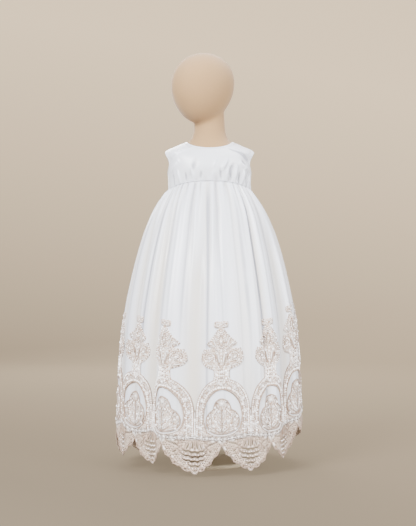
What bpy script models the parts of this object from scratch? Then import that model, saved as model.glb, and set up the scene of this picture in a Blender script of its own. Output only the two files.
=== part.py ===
"""A baby's christening gown on a limbless dress form, in metres, +Z up.

The gown faces -Y. Its wearer's left side is +X. The origin is the middle of the stand's underside.
Angles run round the body in degrees: 0 is the centre front, 90 the wearer's left side, 180 the centre back.
"""

import math
from collections import namedtuple
from functools import lru_cache

import bmesh
import bpy
from mathutils import Vector

MM = 0.001

# Cloth
SATIN_WALL = 1.5 * MM
LACE_WALL = 1.2 * MM
SEAM_GAP = 0.3 * MM
SEAM_LEAN = 1.3  # how fast a ring falls from its front height to its side height

# Lace: one repeat is an arch over each notch of the hem and a pointed scallop between two arches
REPEATS = 12
COLUMNS_PER_HALF = 6
COLUMNS = 2 * REPEATS * COLUMNS_PER_HALF
RIGHT_SEAM_LINE = -33  # column lines, counted from the first scallop's point to the wearer's left
LEFT_SEAM_LINE = 39
SCALLOP_POWER = 1.9
PICOT = 2.5 * MM
SEAM_ANGLE = 90.0

# Gathers under the waist seam, and the broad fold that each lace repeat hangs in
GATHER_LINES = 4
GATHER_HEIGHT = 2.0 * MM
GATHER_FADE = 75 * MM
BROAD_FOLD = 4.0 * MM

# Bodice
BODICE_ROUND = 9  # columns from the middle of a panel to its side
UNDERARM = 2.0  # places in the table of bodice rings
SHOULDER_TIP = 4.0
FRONT_ARMHOLE = 22.0  # how far the armhole cuts in from the side, in degrees
BACK_ARMHOLE = 18.0
ARMHOLE_POWER = 0.75

# Dress form and its stand
FORM_SEGMENTS = 24
HEAD_CENTRE = Vector((-15, -13, 822)) * MM
HEAD_HALF_HEIGHT = 77.5 * MM
HEAD_HALF_SIDE = 62 * MM
HEAD_HALF_LENGTH = 75 * MM
HEAD_TURN = math.radians(-45)
HEAD_LEAN = 7 * MM
EGG = 0.10
HEAD_RINGS = 12
POLE_RADIUS = 9 * MM
BASE_RADIUS = 85 * MM
BASE_HEIGHT = 8 * MM
BASE_EDGE = 2 * MM
STAND_SEGMENTS = 32

LacePlace = namedtuple("LacePlace", "angle edge hem")

# Where the folds bring the points of the scalloped edge and the notches between them: a point, then a notch,
# and so on round the body. edge and hem are the heights of the lace's and the satin's edge, in millimetres.
LACE_PLACES = [
    LacePlace(-9, 5, 83),
    LacePlace(7, 60, 82),
    LacePlace(25.5, 11, 88),
    LacePlace(40, 57, 86),
    LacePlace(52, 29, 102),
    LacePlace(66, 88, 112),
    LacePlace(83, 64, 124),
    LacePlace(97, 92, 115),
    LacePlace(114, 34, 108),
    LacePlace(129, 68, 94),
    LacePlace(144, 10, 88),
    LacePlace(158, 60, 83),
    LacePlace(173, 5, 83),
    LacePlace(188, 60, 82),
    LacePlace(203, 7, 85),
    LacePlace(218, 62, 84),
    LacePlace(234, 12, 90),
    LacePlace(250, 66, 88),
    LacePlace(264, 20, 97),
    LacePlace(276, 70, 94),
    LacePlace(290, 27, 102),
    LacePlace(308, 63, 90),
    LacePlace(322, 22, 94),
    LacePlace(331, 58, 85),
]

Ring = namedtuple("Ring", "side_z front_z back_z half_width front_depth back_depth squareness")

# Rings of the bodice in millimetres, from the waist seam up to the neckline
BODICE_RINGS = [
    Ring(597.2, 617.4, 601.4, 90.0, 70, 60.0, 0.88),
    Ring(615.0, 631.0, 616.0, 90.0, 73, 61.5, 0.88),
    Ring(632.0, 645.0, 634.0, 91.0, 74, 62.0, 0.87),
    Ring(659.0, 657.0, 660.0, 92.5, 72, 61.0, 0.86),
    Ring(685.0, 669.0, 676.0, 92.0, 67, 57.0, 0.85),
    Ring(696.5, 680.0, 688.0, 72.0, 60, 51.0, 0.87),
    Ring(706.0, 689.0, 699.0, 50.0, 53, 45.0, 0.90),
]
BODICE_PLACES = (0, 0.67, 1.33, 2, 2.4, 2.8, 3.2, 3.6, 4, 4.67, 5.33, 6)

# Rings of the skirt in millimetres, from the waist seam down. The last two are the satin's hem and the floor.
SKIRT_RINGS = [
    Ring(596, 616, 600, 90.0, 70, 60, 0.88),
    Ring(586, 604, 590, 98.0, 79, 70, 0.90),
    Ring(566, 582, 569, 113.0, 92, 84, 0.93),
    Ring(536, 546, 538, 130.5, 108, 101, 0.96),
    Ring(488, 492, 489, 149.0, 127, 121, 1.00),
    Ring(420, 421, 420, 167.0, 147, 142, 1.00),
    Ring(322, 322, 322, 186.0, 165, 163, 1.00),
    Ring(210, 210, 210, 195.5, 176, 176, 1.00),
    Ring(84, 84, 84, 200.0, 180, 182, 1.00),
    Ring(0, 0, 0, 201.0, 180, 183, 1.00),
]
HEM_RING = 8

Fold = namedtuple("Fold", "waist_angle hem_angle half_width height top bottom")

# The skirt's largest folds: a ridge has a height in millimetres, a trough a negative one.
# half_width is in degrees. A fold shows from top to bottom, as shares of the way from waist to hem.
FOLDS = [
    Fold(-1, -1, 4.5, -2.8, 0.00, 0.40),
    Fold(-7, -11, 8.0, -3.6, 0.25, 1.00),
    Fold(14, 11, 9.0, 2.0, 0.00, 0.60),
    Fold(29, 29, 7.0, 2.6, 0.00, 0.85),
    Fold(37.5, 38, 6.0, -6.0, 0.03, 1.00),
    Fold(45, 46, 7.0, 4.6, 0.02, 1.00),
    Fold(59, 58, 8.0, -4.0, 0.15, 1.00),
    Fold(68, 71, 9.0, 3.6, 0.00, 1.00),
    Fold(-24, -22, 9.0, 2.4, 0.00, 0.80),
    Fold(-38, -38, 7.0, -4.4, 0.02, 1.00),
    Fold(-61, -51, 7.0, -5.4, 0.06, 1.00),
    Fold(-72, -63, 9.0, 4.2, 0.00, 1.00),
    Fold(-80, -80, 8.0, -3.2, 0.05, 1.00),
    Fold(84, 85, 7.0, -3.2, 0.05, 1.00),
    Fold(104, 101, 8.0, 4.0, 0.00, 1.00),
    Fold(119, 120, 7.0, -4.4, 0.06, 1.00),
    Fold(137, 134, 9.0, 4.0, 0.00, 1.00),
    Fold(151, 153, 7.0, -4.6, 0.04, 1.00),
    Fold(170, 167, 8.0, 4.2, 0.00, 0.85),
    Fold(183, 185, 6.0, -4.4, 0.02, 1.00),
    Fold(200, 203, 9.0, 3.8, 0.00, 1.00),
    Fold(217, 220, 7.0, -4.6, 0.06, 1.00),
    Fold(236, 235, 8.0, 4.0, 0.00, 1.00),
    Fold(254, 257, 7.0, -3.8, 0.05, 1.00),
]

# The border's rows, as shares of the way from the satin's hem to the scalloped edge. A cut row has a hole on
# each side of the scallop's middle, between the column lines listed.
BorderRow = namedtuple("BorderRow", "top bottom holes_from holes_to")
BORDER_ROWS = [
    BorderRow(0.00, 0.10, 0, 0),
    BorderRow(0.10, 0.33, 1, 2),
    BorderRow(0.33, 0.40, 0, 0),
    BorderRow(0.40, 0.48, 1, 3),
    BorderRow(0.48, 0.55, 0, 0),
    BorderRow(0.55, 0.63, 1, 3),
    BorderRow(0.63, 0.71, 0, 0),
    BorderRow(0.71, 0.80, 1, 2),
    BorderRow(0.80, 1.00, 0, 0),
]
# Column lines near the scallop's middle are drawn in, so that the bar there is narrow and the holes are wide
DRAWN_IN = {1: 0.25, 2: 1.05}

# Outline of one lace motif: an arch with a palmette on its top. along is counted in column lines from the
# arch's middle, and heights are in millimetres over the satin's hem.
MotifLine = namedtuple("MotifLine", "along top bottom")
ARCH_CENTRE = 48
ARCH_OUTER = (5.85, 73)
ARCH_INNER = (3.95, 49)
ARCH_LINES = (0, 1, 2, 3, 4, 5, 5.6)
ARCH_FOOT = 3
PALMETTE = [
    MotifLine(0.0, 236, 139),
    MotifLine(1.0, 231, 139),
    MotifLine(2.0, 207, 139),
    MotifLine(3.0, 197, 146),
    MotifLine(4.2, 172, 158),
]
STEM_LINES = 2  # column lines on each side of the middle that the stem reaches
MOTIF_LIFT = 1.0 * MM  # clear of the facets under it
BEND_ROOM = 3 * MM

# Rings of the form's body in millimetres, from the hip up into the head
FORM_RINGS = [
    Ring(430, 430, 430, 62.0, 50, 48.0, 0.95),
    Ring(436, 436, 436, 76.0, 61, 58.0, 0.95),
    Ring(470, 470, 470, 82.0, 66, 63.0, 0.95),
    Ring(530, 530, 530, 82.0, 69, 60.0, 0.95),
    Ring(590, 590, 590, 79.0, 66, 54.0, 0.93),
    Ring(630, 627, 627, 80.0, 64, 52.0, 0.91),
    Ring(658, 648, 650, 84.0, 62, 51.0, 0.89),
    Ring(678, 661, 667, 87.0, 60, 49.5, 0.87),
    Ring(687, 668, 675, 87.0, 58, 48.5, 0.86),
    Ring(695.7, 678, 686, 70.0, 53, 45.0, 0.88),
    Ring(704.3, 689, 697, 50.0, 48, 41.0, 0.92),
    Ring(712, 705, 708, 41.0, 40, 37.0, 0.97),
    Ring(722, 719, 720, 36.5, 36, 35.0, 1.00),
    Ring(738, 738, 738, 34.0, 34, 33.0, 1.00),
    Ring(790, 790, 790, 31.0, 31, 31.0, 1.00),
]


def clear_scene():
    for old in list(bpy.data.objects):
        bpy.data.objects.remove(old)


def material(name, colour, roughness, metallic=0.0):
    made = bpy.data.materials.new(name)
    made.use_nodes = True
    shader = made.node_tree.nodes["Principled BSDF"]
    shader.inputs["Base Color"].default_value = (*colour, 1.0)
    shader.inputs["Roughness"].default_value = roughness
    shader.inputs["Metallic"].default_value = metallic
    return made


def mesh_object(name, points, faces, finish):
    mesh = bpy.data.meshes.new(name)
    mesh.from_pydata(points, [], faces)
    mesh.materials.append(finish)
    mesh.shade_smooth()
    made = bpy.data.objects.new(name, mesh)
    bpy.context.scene.collection.objects.link(made)
    return made


def give_wall(made, thickness):
    wall = made.modifiers.new("wall", "SOLIDIFY")
    wall.thickness = thickness
    wall.offset = 0
    wall.use_even_offset = True
    return made


def ring_point(ring, angle):
    turn = math.radians(angle)
    s, c = math.sin(turn), math.cos(turn)
    depth = ring.front_depth if c > 0 else ring.back_depth
    end_z = ring.front_z if c > 0 else ring.back_z
    x = ring.half_width * math.copysign(abs(s) ** ring.squareness, s)
    y = -depth * math.copysign(abs(c) ** ring.squareness, c)
    z = ring.side_z + (end_z - ring.side_z) * abs(c) ** SEAM_LEAN
    return Vector((x, y, z)) * MM


def ring_outward(ring, angle):
    """The horizontal direction that points out of a ring."""
    turn = math.radians(angle)
    depth = ring.front_depth if math.cos(turn) > 0 else ring.back_depth
    return Vector((math.sin(turn) * depth, -math.cos(turn) * ring.half_width, 0)).normalized()


def through(before, start, end, after, share):
    """A smooth curve through four values, read between the middle two."""
    slope_in, slope_out = (end - before) / 2, (after - start) / 2
    rise = end - start
    cubic = slope_in + slope_out - 2 * rise
    square = 3 * rise - 2 * slope_in - slope_out
    return start + share * (slope_in + share * (square + share * cubic))


def ring_between(rings, place):
    low = min(int(place), len(rings) - 2)
    rows = [rings[max(0, min(len(rings) - 1, low + step))] for step in (-1, 0, 1, 2)]
    return Ring(*(through(*values, place - low) for values in zip(*rows)))


def bump(distance):
    """1 at 0, falling smoothly to 0 at 1."""
    return 0.5 + 0.5 * math.cos(math.pi * min(1.0, abs(distance)))


def angle_between(angle, other):
    return (angle - other + 180) % 360 - 180


def skirt_share(ring):
    """How far down the skirt a ring is, from 0 at the waist seam to 1 at the satin's hem."""
    top, hem = SKIRT_RINGS[0].side_z, SKIRT_RINGS[HEM_RING].side_z
    return min(1.0, (top - ring.side_z) / (top - hem))


def read_places(values, line):
    """A smooth run through the hem points and notches, read at a column line."""
    place = line / COLUMNS_PER_HALF
    low = math.floor(place + 1e-9)
    four = [values(low + step) for step in (-1, 0, 1, 2)]
    return through(*four, place - low)


def place_angle(number):
    turns, number = divmod(number, len(LACE_PLACES))
    return LACE_PLACES[number].angle + 360 * turns


def place_hem(number):
    return LACE_PLACES[number % len(LACE_PLACES)].hem * MM


def line_angle(line):
    return read_places(place_angle, line)


def hem_z(line):
    return read_places(place_hem, line)


def repeat_wave(line):
    """1 over a point of the scalloped hem, -1 over a notch."""
    return math.cos(math.pi * line / COLUMNS_PER_HALF)


def fold_height(line, share):
    """How far the folds lift the skirt at a column line, a share of the way down from the waist."""
    height = BROAD_FOLD * share * -repeat_wave(line)
    for fold in FOLDS:
        centre = fold.waist_angle + (fold.hem_angle - fold.waist_angle) * share
        soft_ends = min(1.0, max(0.0, (share - fold.top) / 0.12)) if fold.top else 1.0
        if fold.bottom < 1:
            soft_ends *= min(1.0, max(0.0, (fold.bottom - share) / 0.2))
        away = angle_between(line_angle(line), centre) / fold.half_width
        height += fold.height * MM * soft_ends * bump(away)
    return height * min(1.0, 0.25 + 2.5 * share)


def gather_height(line, depth_below_seam):
    """Gathers drawn up in the waist seam, uneven in height and gone a short way below it."""
    wave = math.cos(2 * math.pi * line / GATHER_LINES)
    uneven = 0.8 + 0.2 * math.sin(math.radians(line_angle(line) * 7))
    return GATHER_HEIGHT * uneven * wave * math.exp(-depth_below_seam / GATHER_FADE)


@lru_cache(maxsize=None)
def skirt_column(line):
    """Points of the skirt's wall from the waist seam down to the lace tips, at a column line."""
    angle = line_angle(line)
    column = []
    for number, ring in enumerate(SKIRT_RINGS):
        point = ring_point(ring, angle)
        depth = (SKIRT_RINGS[0].side_z - ring.side_z) * MM
        height = fold_height(line, skirt_share(ring)) + gather_height(line, depth)
        point += ring_outward(ring, angle) * height
        if number == HEM_RING:
            point.z = hem_z(line)
        column.append(point)
    return column


def at_height(column, z):
    for upper, lower in zip(column, column[1:]):
        if lower.z <= z <= upper.z:
            return upper.lerp(lower, (upper.z - z) / (upper.z - lower.z))
    return column[-1] if z < column[-1].z else column[0]


def on_skirt(line, z):
    """A point on the flat facet of the skirt's wall at this column line and height."""
    low = math.floor(line + 1e-6)
    left = at_height(skirt_column(low), z)
    right = at_height(skirt_column(low + 1), z)
    return left.lerp(right, line - low)


def panel_lines(front):
    """Column lines of the front or back half, from side seam to side seam."""
    if front:
        return range(RIGHT_SEAM_LINE, LEFT_SEAM_LINE + 1)
    return range(LEFT_SEAM_LINE, RIGHT_SEAM_LINE + COLUMNS + 1)


def seam_shift(front):
    """Half a seam gap, towards the panel's own side."""
    return Vector((0, -SEAM_GAP / 2 if front else SEAM_GAP / 2, 0))


def grid_faces(columns, rows):
    """Quads of a grid whose points run down each column line, facing out."""
    faces = []
    for column in range(columns):
        for row in range(rows):
            a = column * (rows + 1) + row
            b = a + rows + 1
            faces.append((a, a + 1, b + 1, b))
    return faces


def skirt_panel(name, front, satin):
    lines = panel_lines(front)
    points = []
    for line in lines:
        column = [point.copy() for point in skirt_column(line)[: HEM_RING + 1]]
        if line in (lines[0], lines[-1]):
            column = [point + seam_shift(front) for point in column]
        points += column
    return give_wall(mesh_object(name, points, grid_faces(len(lines) - 1, HEM_RING), satin), SATIN_WALL)


def lines_from_tip(line):
    """How many column lines a line is from the middle of its scallop, left lines negative."""
    return (line + COLUMNS_PER_HALF) % (2 * COLUMNS_PER_HALF) - COLUMNS_PER_HALF


def edge_z(line):
    """The scalloped edge: a deep point between two notches, with small picots on alternate lines."""
    away = lines_from_tip(line)
    tip = (line - away) // COLUMNS_PER_HALF
    notch = tip + (1 if away > 0 else -1)
    tip_z, notch_z = (LACE_PLACES[number % len(LACE_PLACES)].edge * MM for number in (tip, notch))
    share = abs(away) / COLUMNS_PER_HALF
    picot = PICOT if away % 2 else 0.0
    return tip_z + (notch_z - tip_z) * share**SCALLOP_POWER + picot


def border_point(line, share):
    """A point of the lace border, a share of the way from the satin's hem to the scalloped edge."""
    top = hem_z(line) - SEAM_GAP
    z = top + (edge_z(line) - top) * share
    away = lines_from_tip(line)
    drawn = math.copysign(DRAWN_IN.get(abs(away), abs(away)), away) if share else away
    return at_height(skirt_column(line - away + drawn), z)


def lace_border(name, front, lace):
    """The border has all its rows only on the column lines beside holes."""
    shares = [BORDER_ROWS[0].top] + [row.bottom for row in BORDER_ROWS]
    widest = max(row.holes_to for row in BORDER_ROWS)
    lines = panel_lines(front)
    points, faces, columns = [], [], []
    for line in lines:
        by_holes = 1 <= abs(lines_from_tip(line)) <= widest
        column = [border_point(line, share) for share in (shares if by_holes else (shares[0], shares[-1]))]
        if line in (lines[0], lines[-1]):
            column = [point + seam_shift(front) for point in column]
        columns.append(range(len(points), len(points) + len(column)))
        points += column
    for line, left, right in zip(lines, columns, columns[1:]):
        from_tip = lines_from_tip(line)
        from_tip = from_tip if from_tip >= 0 else -from_tip - 1
        if not 1 <= from_tip < widest:
            faces.append([*left, *reversed(right)])
            continue
        for number, row in enumerate(BORDER_ROWS):
            if not row.holes_from <= from_tip < row.holes_to:
                faces.append((left[number], left[number + 1], right[number + 1], right[number]))
    return give_wall(mesh_object(name, points, faces, lace), LACE_WALL)


def arch_edge(along, half_width, height):
    """Height of an elliptic arch over the hem in millimetres, or its foot beside it."""
    inside = 1 - (along / half_width) ** 2
    return ARCH_CENTRE + height * math.sqrt(inside) if inside > 0 else ARCH_FOOT


def lace_motif(name, middle_line, lace):
    """An arch band with a stem and a palmette, laid on the skirt's own facets and moved out."""
    points, faces, index = [], [], {}
    lift = (SATIN_WALL + LACE_WALL) / 2 + MOTIF_LIFT
    bends = [ring.side_z * MM for ring in SKIRT_RINGS]

    def nearest(column, z):
        return column[min(column, key=lambda height: abs(height - z))]

    def corner(along, z):
        key = (round(along, 3), round(z, 6))
        if key not in index:
            line = middle_line + along
            index[key] = len(points)
            out = ring_outward(SKIRT_RINGS[HEM_RING], line_angle(line))
            points.append(on_skirt(line, z) + out * lift)
        return index[key]

    def side(along, top, bottom):
        """Corners down a column line from top to bottom, with one at each bend of the skirt's wall."""
        hem = hem_z(middle_line + along)
        heights = [hem + top * MM, hem + bottom * MM]
        heights[1:1] = [z for z in bends if heights[0] - BEND_ROOM > z > heights[1] + BEND_ROOM]
        return {z: corner(along, z) for z in heights}

    def strip(near, far):
        """Faces between two column lines, cut from bend to bend or to the end of the shorter line."""
        left, right = side(*near), side(*far)
        cuts = [1.0, *sorted((set(left) | set(right)) & set(bends), reverse=True), 0.0]
        for upper, lower in zip(cuts, cuts[1:]):
            corners = [nearest(left, upper), nearest(left, lower)]
            corners += [nearest(right, lower), nearest(right, upper)]
            corners = list(dict.fromkeys(corners))
            if len(corners) > 2:
                faces.append(corners)

    arch = [(x, arch_edge(x, *ARCH_OUTER), arch_edge(x, *ARCH_INNER)) for x in ARCH_LINES]
    leaf = [tuple(line) for line in PALMETTE]
    stem = [(x, PALMETTE[0].bottom, top) for x, top, _ in arch[: STEM_LINES + 1]]
    for band in (arch, leaf, stem):
        for near, far in zip(band, band[1:]):
            strip(near, far)
            strip((-far[0], *far[1:]), (-near[0], *near[1:]))
    return give_wall(mesh_object(name, points, faces, lace), LACE_WALL)


def armhole_share(place):
    """0 at the underarm and the shoulder tip, 1 half-way up the armhole."""
    if not UNDERARM < place < SHOULDER_TIP:
        return 0.0
    return math.sin(math.pi * (place - UNDERARM) / (SHOULDER_TIP - UNDERARM)) ** ARMHOLE_POWER


def bodice_point(place, angle):
    return ring_point(ring_between(BODICE_RINGS, place), angle)


def bodice_front(satin):
    points = []
    for step in range(-BODICE_ROUND, BODICE_ROUND + 1):
        for place in reversed(BODICE_PLACES):
            share = armhole_share(place)
            reach = SEAM_ANGLE - FRONT_ARMHOLE * share
            point = bodice_point(place, reach * step / BODICE_ROUND)
            if abs(step) == BODICE_ROUND and not share:
                point += seam_shift(True)
            points.append(point)
    faces = grid_faces(2 * BODICE_ROUND, len(BODICE_PLACES) - 1)
    return give_wall(mesh_object("bodice_front", points, faces, satin), SATIN_WALL)


def back_angle(place, step):
    """step runs from 0 at the centre back to BODICE_ROUND at the side seam, negative on the left."""
    reach = 180 - SEAM_ANGLE - BACK_ARMHOLE * armhole_share(place)
    return 180 + reach * step / BODICE_ROUND


def bodice_back(name, side, satin):
    """side is 1 for the wearer's left half and -1 for the right."""
    steps = range(-BODICE_ROUND, 1) if side > 0 else range(0, BODICE_ROUND + 1)
    points = []
    for step in steps:
        for place in reversed(BODICE_PLACES):
            point = bodice_point(place, back_angle(place, step))
            if step == 0:
                point.x = side * SEAM_GAP / 2
            if abs(step) == BODICE_ROUND and not armhole_share(place):
                point += seam_shift(False)
            points.append(point)
    faces = grid_faces(BODICE_ROUND, len(BODICE_PLACES) - 1)
    return give_wall(mesh_object(name, points, faces, satin), SATIN_WALL)


def turned(name, profile, segments, finish):
    """A solid turned round its own Z axis. profile runs from the bottom up as (radius, height)."""
    work = bmesh.new()
    rings = []
    for radius, height in profile:
        if radius == 0:
            rings.append([work.verts.new((0, 0, height))])
            continue
        turns = [2 * math.pi * k / segments for k in range(segments)]
        rings.append([work.verts.new((radius * math.cos(t), radius * math.sin(t), height)) for t in turns])
    for lower, upper in zip(rings, rings[1:]):
        for k in range(segments):
            around = [lower[k % len(lower)], lower[(k + 1) % len(lower)]]
            around += [upper[(k + 1) % len(upper)], upper[k % len(upper)]]
            work.faces.new(list(dict.fromkeys(around)))
    mesh = bpy.data.meshes.new(name)
    work.to_mesh(mesh)
    work.free()
    mesh.materials.append(finish)
    mesh.shade_smooth()
    mesh.set_sharp_from_angle(angle=math.radians(40))
    made = bpy.data.objects.new(name, mesh)
    bpy.context.scene.collection.objects.link(made)
    return made


def closed_loft(name, rings, finish):
    """A solid through rings of points that all run the same way round, closed at both ends."""
    count = len(rings[0])
    points = [point for ring in rings for point in ring]
    faces = []
    for number in range(len(rings) - 1):
        for k in range(count):
            a, b = number * count + k, number * count + (k + 1) % count
            faces.append((a, b, b + count, a + count))
    for number, step in ((0, 1), (len(rings) - 1, 0)):
        ring = range(number * count, number * count + count)
        points.append(sum(rings[number], Vector()) / count)
        for k in range(count):
            pair = (ring[(k + 1) % count], ring[k]) if step else (ring[k], ring[(k + 1) % count])
            faces.append((*pair, len(points) - 1))
    return mesh_object(name, points, faces, finish)


def form_head(jersey):
    """A plain egg, narrow end down, turned to the wearer's right."""
    forward = Vector((math.sin(HEAD_TURN), -math.cos(HEAD_TURN), 0))
    sideways = Vector((math.cos(HEAD_TURN), math.sin(HEAD_TURN), 0))
    rings = []
    for number in range(HEAD_RINGS):
        tilt = math.pi * (number + 0.35) / (HEAD_RINGS - 0.3)
        up = -math.cos(tilt)
        radius = math.sin(tilt) * (1 + EGG * up)
        centre = HEAD_CENTRE + Vector((0, 0, HEAD_HALF_HEIGHT * up)) - forward * HEAD_LEAN * up
        ring = []
        for k in range(FORM_SEGMENTS):
            turn = 2 * math.pi * k / FORM_SEGMENTS
            side = sideways * HEAD_HALF_SIDE * math.cos(turn)
            length = forward * HEAD_HALF_LENGTH * -math.sin(turn)
            ring.append(centre + (side + length) * radius)
        rings.append(ring)
    head = closed_loft("head_guide", rings, jersey)
    head.hide_render = True
    head.display_type = "WIRE"
    return head


def dress_form(jersey):
    """Hips, chest, shoulders and neck in one, with the head joined on."""
    step = 360 / FORM_SEGMENTS
    rings = [[ring_point(ring, k * step) for k in range(FORM_SEGMENTS)] for ring in FORM_RINGS]
    body = closed_loft("dress_form", rings, jersey)
    join = body.modifiers.new("head", "BOOLEAN")
    join.operation = "UNION"
    join.object = form_head(jersey)
    return body


def stand(lacquer):
    pole_bottom = BASE_HEIGHT + SEAM_GAP
    pole_top = FORM_RINGS[0].side_z * MM - SEAM_GAP
    pole = [(0, pole_bottom), (POLE_RADIUS, pole_bottom), (POLE_RADIUS, pole_top), (0, pole_top)]
    turned("form_pole", pole, STAND_SEGMENTS // 2, lacquer)
    edge = BASE_RADIUS - BASE_EDGE
    base = [(0, 0), (edge, 0), (BASE_RADIUS, BASE_EDGE), (BASE_RADIUS, BASE_HEIGHT - BASE_EDGE)]
    base += [(edge, BASE_HEIGHT), (0, BASE_HEIGHT)]
    turned("form_base", base, STAND_SEGMENTS, lacquer)


def main():
    clear_scene()
    satin = material("white_satin", (0.86, 0.86, 0.88), 0.38)
    lace = material("ivory_lace", (0.80, 0.74, 0.70), 0.6)
    jersey = material("cream_jersey", (0.72, 0.60, 0.45), 0.8)
    lacquer = material("beige_lacquer", (0.50, 0.44, 0.35), 0.5)
    bodice_front(satin)
    bodice_back("bodice_back_left", 1, satin)
    bodice_back("bodice_back_right", -1, satin)
    for half, front in (("front", True), ("back", False)):
        skirt_panel(f"skirt_{half}", front, satin)
        lace_border(f"lace_border_{half}", front, lace)
    for number in range(REPEATS):
        middle_line = (2 * number + 1) * COLUMNS_PER_HALF
        lace_motif(f"lace_motif_{number + 1:02d}", middle_line, lace)
    dress_form(jersey)
    stand(lacquer)


main()
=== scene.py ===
import math
import bmesh
import bpy
import numpy as np
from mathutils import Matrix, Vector
from mathutils.geometry import delaunay_2d_cdt


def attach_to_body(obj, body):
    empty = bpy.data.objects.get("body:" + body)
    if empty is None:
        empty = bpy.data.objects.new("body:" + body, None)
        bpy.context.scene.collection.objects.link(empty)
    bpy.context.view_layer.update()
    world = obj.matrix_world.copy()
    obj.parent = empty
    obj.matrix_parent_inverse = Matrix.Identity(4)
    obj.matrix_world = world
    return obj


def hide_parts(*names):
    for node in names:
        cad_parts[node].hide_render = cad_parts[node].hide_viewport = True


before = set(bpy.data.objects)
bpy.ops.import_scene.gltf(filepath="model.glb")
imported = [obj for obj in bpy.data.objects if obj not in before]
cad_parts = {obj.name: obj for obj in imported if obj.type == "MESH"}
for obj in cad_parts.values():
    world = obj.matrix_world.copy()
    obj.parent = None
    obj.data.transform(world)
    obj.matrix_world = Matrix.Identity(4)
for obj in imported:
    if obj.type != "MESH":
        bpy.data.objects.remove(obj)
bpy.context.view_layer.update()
print("frame loaded")

# angles run round the body in degrees: 0 is the centre front, 90 the wearer's left side
# sizes in tables and dictionaries are in mm, unless a note says otherwise
mm = 0.001


def linearColour(hexText):
    values = [int(hexText[k : k + 2], 16) / 255 for k in (1, 3, 5)]
    return (*[v / 12.92 if v <= 0.04045 else ((v + 0.055) / 1.055) ** 2.4 for v in values], 1.0)


def fillSockets(tree, node, values):
    # a socket is joined to another node's output, or its own value is set; a hex colour is made linear
    for socket, value in values.items():
        if isinstance(value, bpy.types.NodeSocket):
            tree.links.new(value, node.inputs[socket])
        else:
            isColour = isinstance(value, str) and value.startswith("#")
            node.inputs[socket].default_value = linearColour(value) if isColour else value


def addNode(tree, kind, settings=None, links=None):
    node = tree.nodes.new(kind)
    for key, value in (settings or {}).items():
        setattr(node, key, value)
    fillSockets(tree, node, links or {})
    return node


def newMaterial(name):
    # the material, its tree and shader, and the places that its textures may follow
    material = bpy.data.materials.new(name)
    material.use_nodes = True
    tree = material.node_tree
    return material, tree, tree.nodes["Principled BSDF"], addNode(tree, "ShaderNodeTexCoord").outputs


def addToScene(name, data):
    made = bpy.data.objects.new(name, data)
    bpy.context.scene.collection.objects.link(made)
    return made


# camera, lights and backdrop

studio = {  # in metres
    "camera": (-0.0033, -2.6, 0.44),
    "lens": 80.9,
    "lamps": [  # name, place, size, power in watts, height aimed at
        ("key light", (-1.5, -2.2, 2.0), 1.6, 235, 0.42),
        ("fill light", (1.9, -1.9, 1.1), 1.8, 120, 0.45),
        ("top light", (0.2, 0.4, 2.6), 1.6, 44, 0.4),
        ("back light", (-0.6, 2.3, 1.5), 1.6, 100, 0.4),
    ],
    "air": "#e8eefc",
    "airStrength": 1.2,
    "floorNear": "#4a4237",
    "wallTop": "#8f7f68",
    "shadeEnds": (-0.11, 2.25),  # heights where the floor's colour ends and the wall's begins
    "shadeBack": 0.164,  # what a metre to the back, and a metre to the right, add to that height
    "shadeRight": 0.19,
    "coveGlow": 3.8,
    "coveFront": -5.0,
    "coveStart": 2.6,  # where the floor starts to bend up
    "coveRadius": 1.4,
    "coveSteps": 12,
    "coveTop": 5.5,
    "coveHalf": 6,
    "coveDrop": 0.0005,  # keeps the floor just under the stand
}


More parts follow.
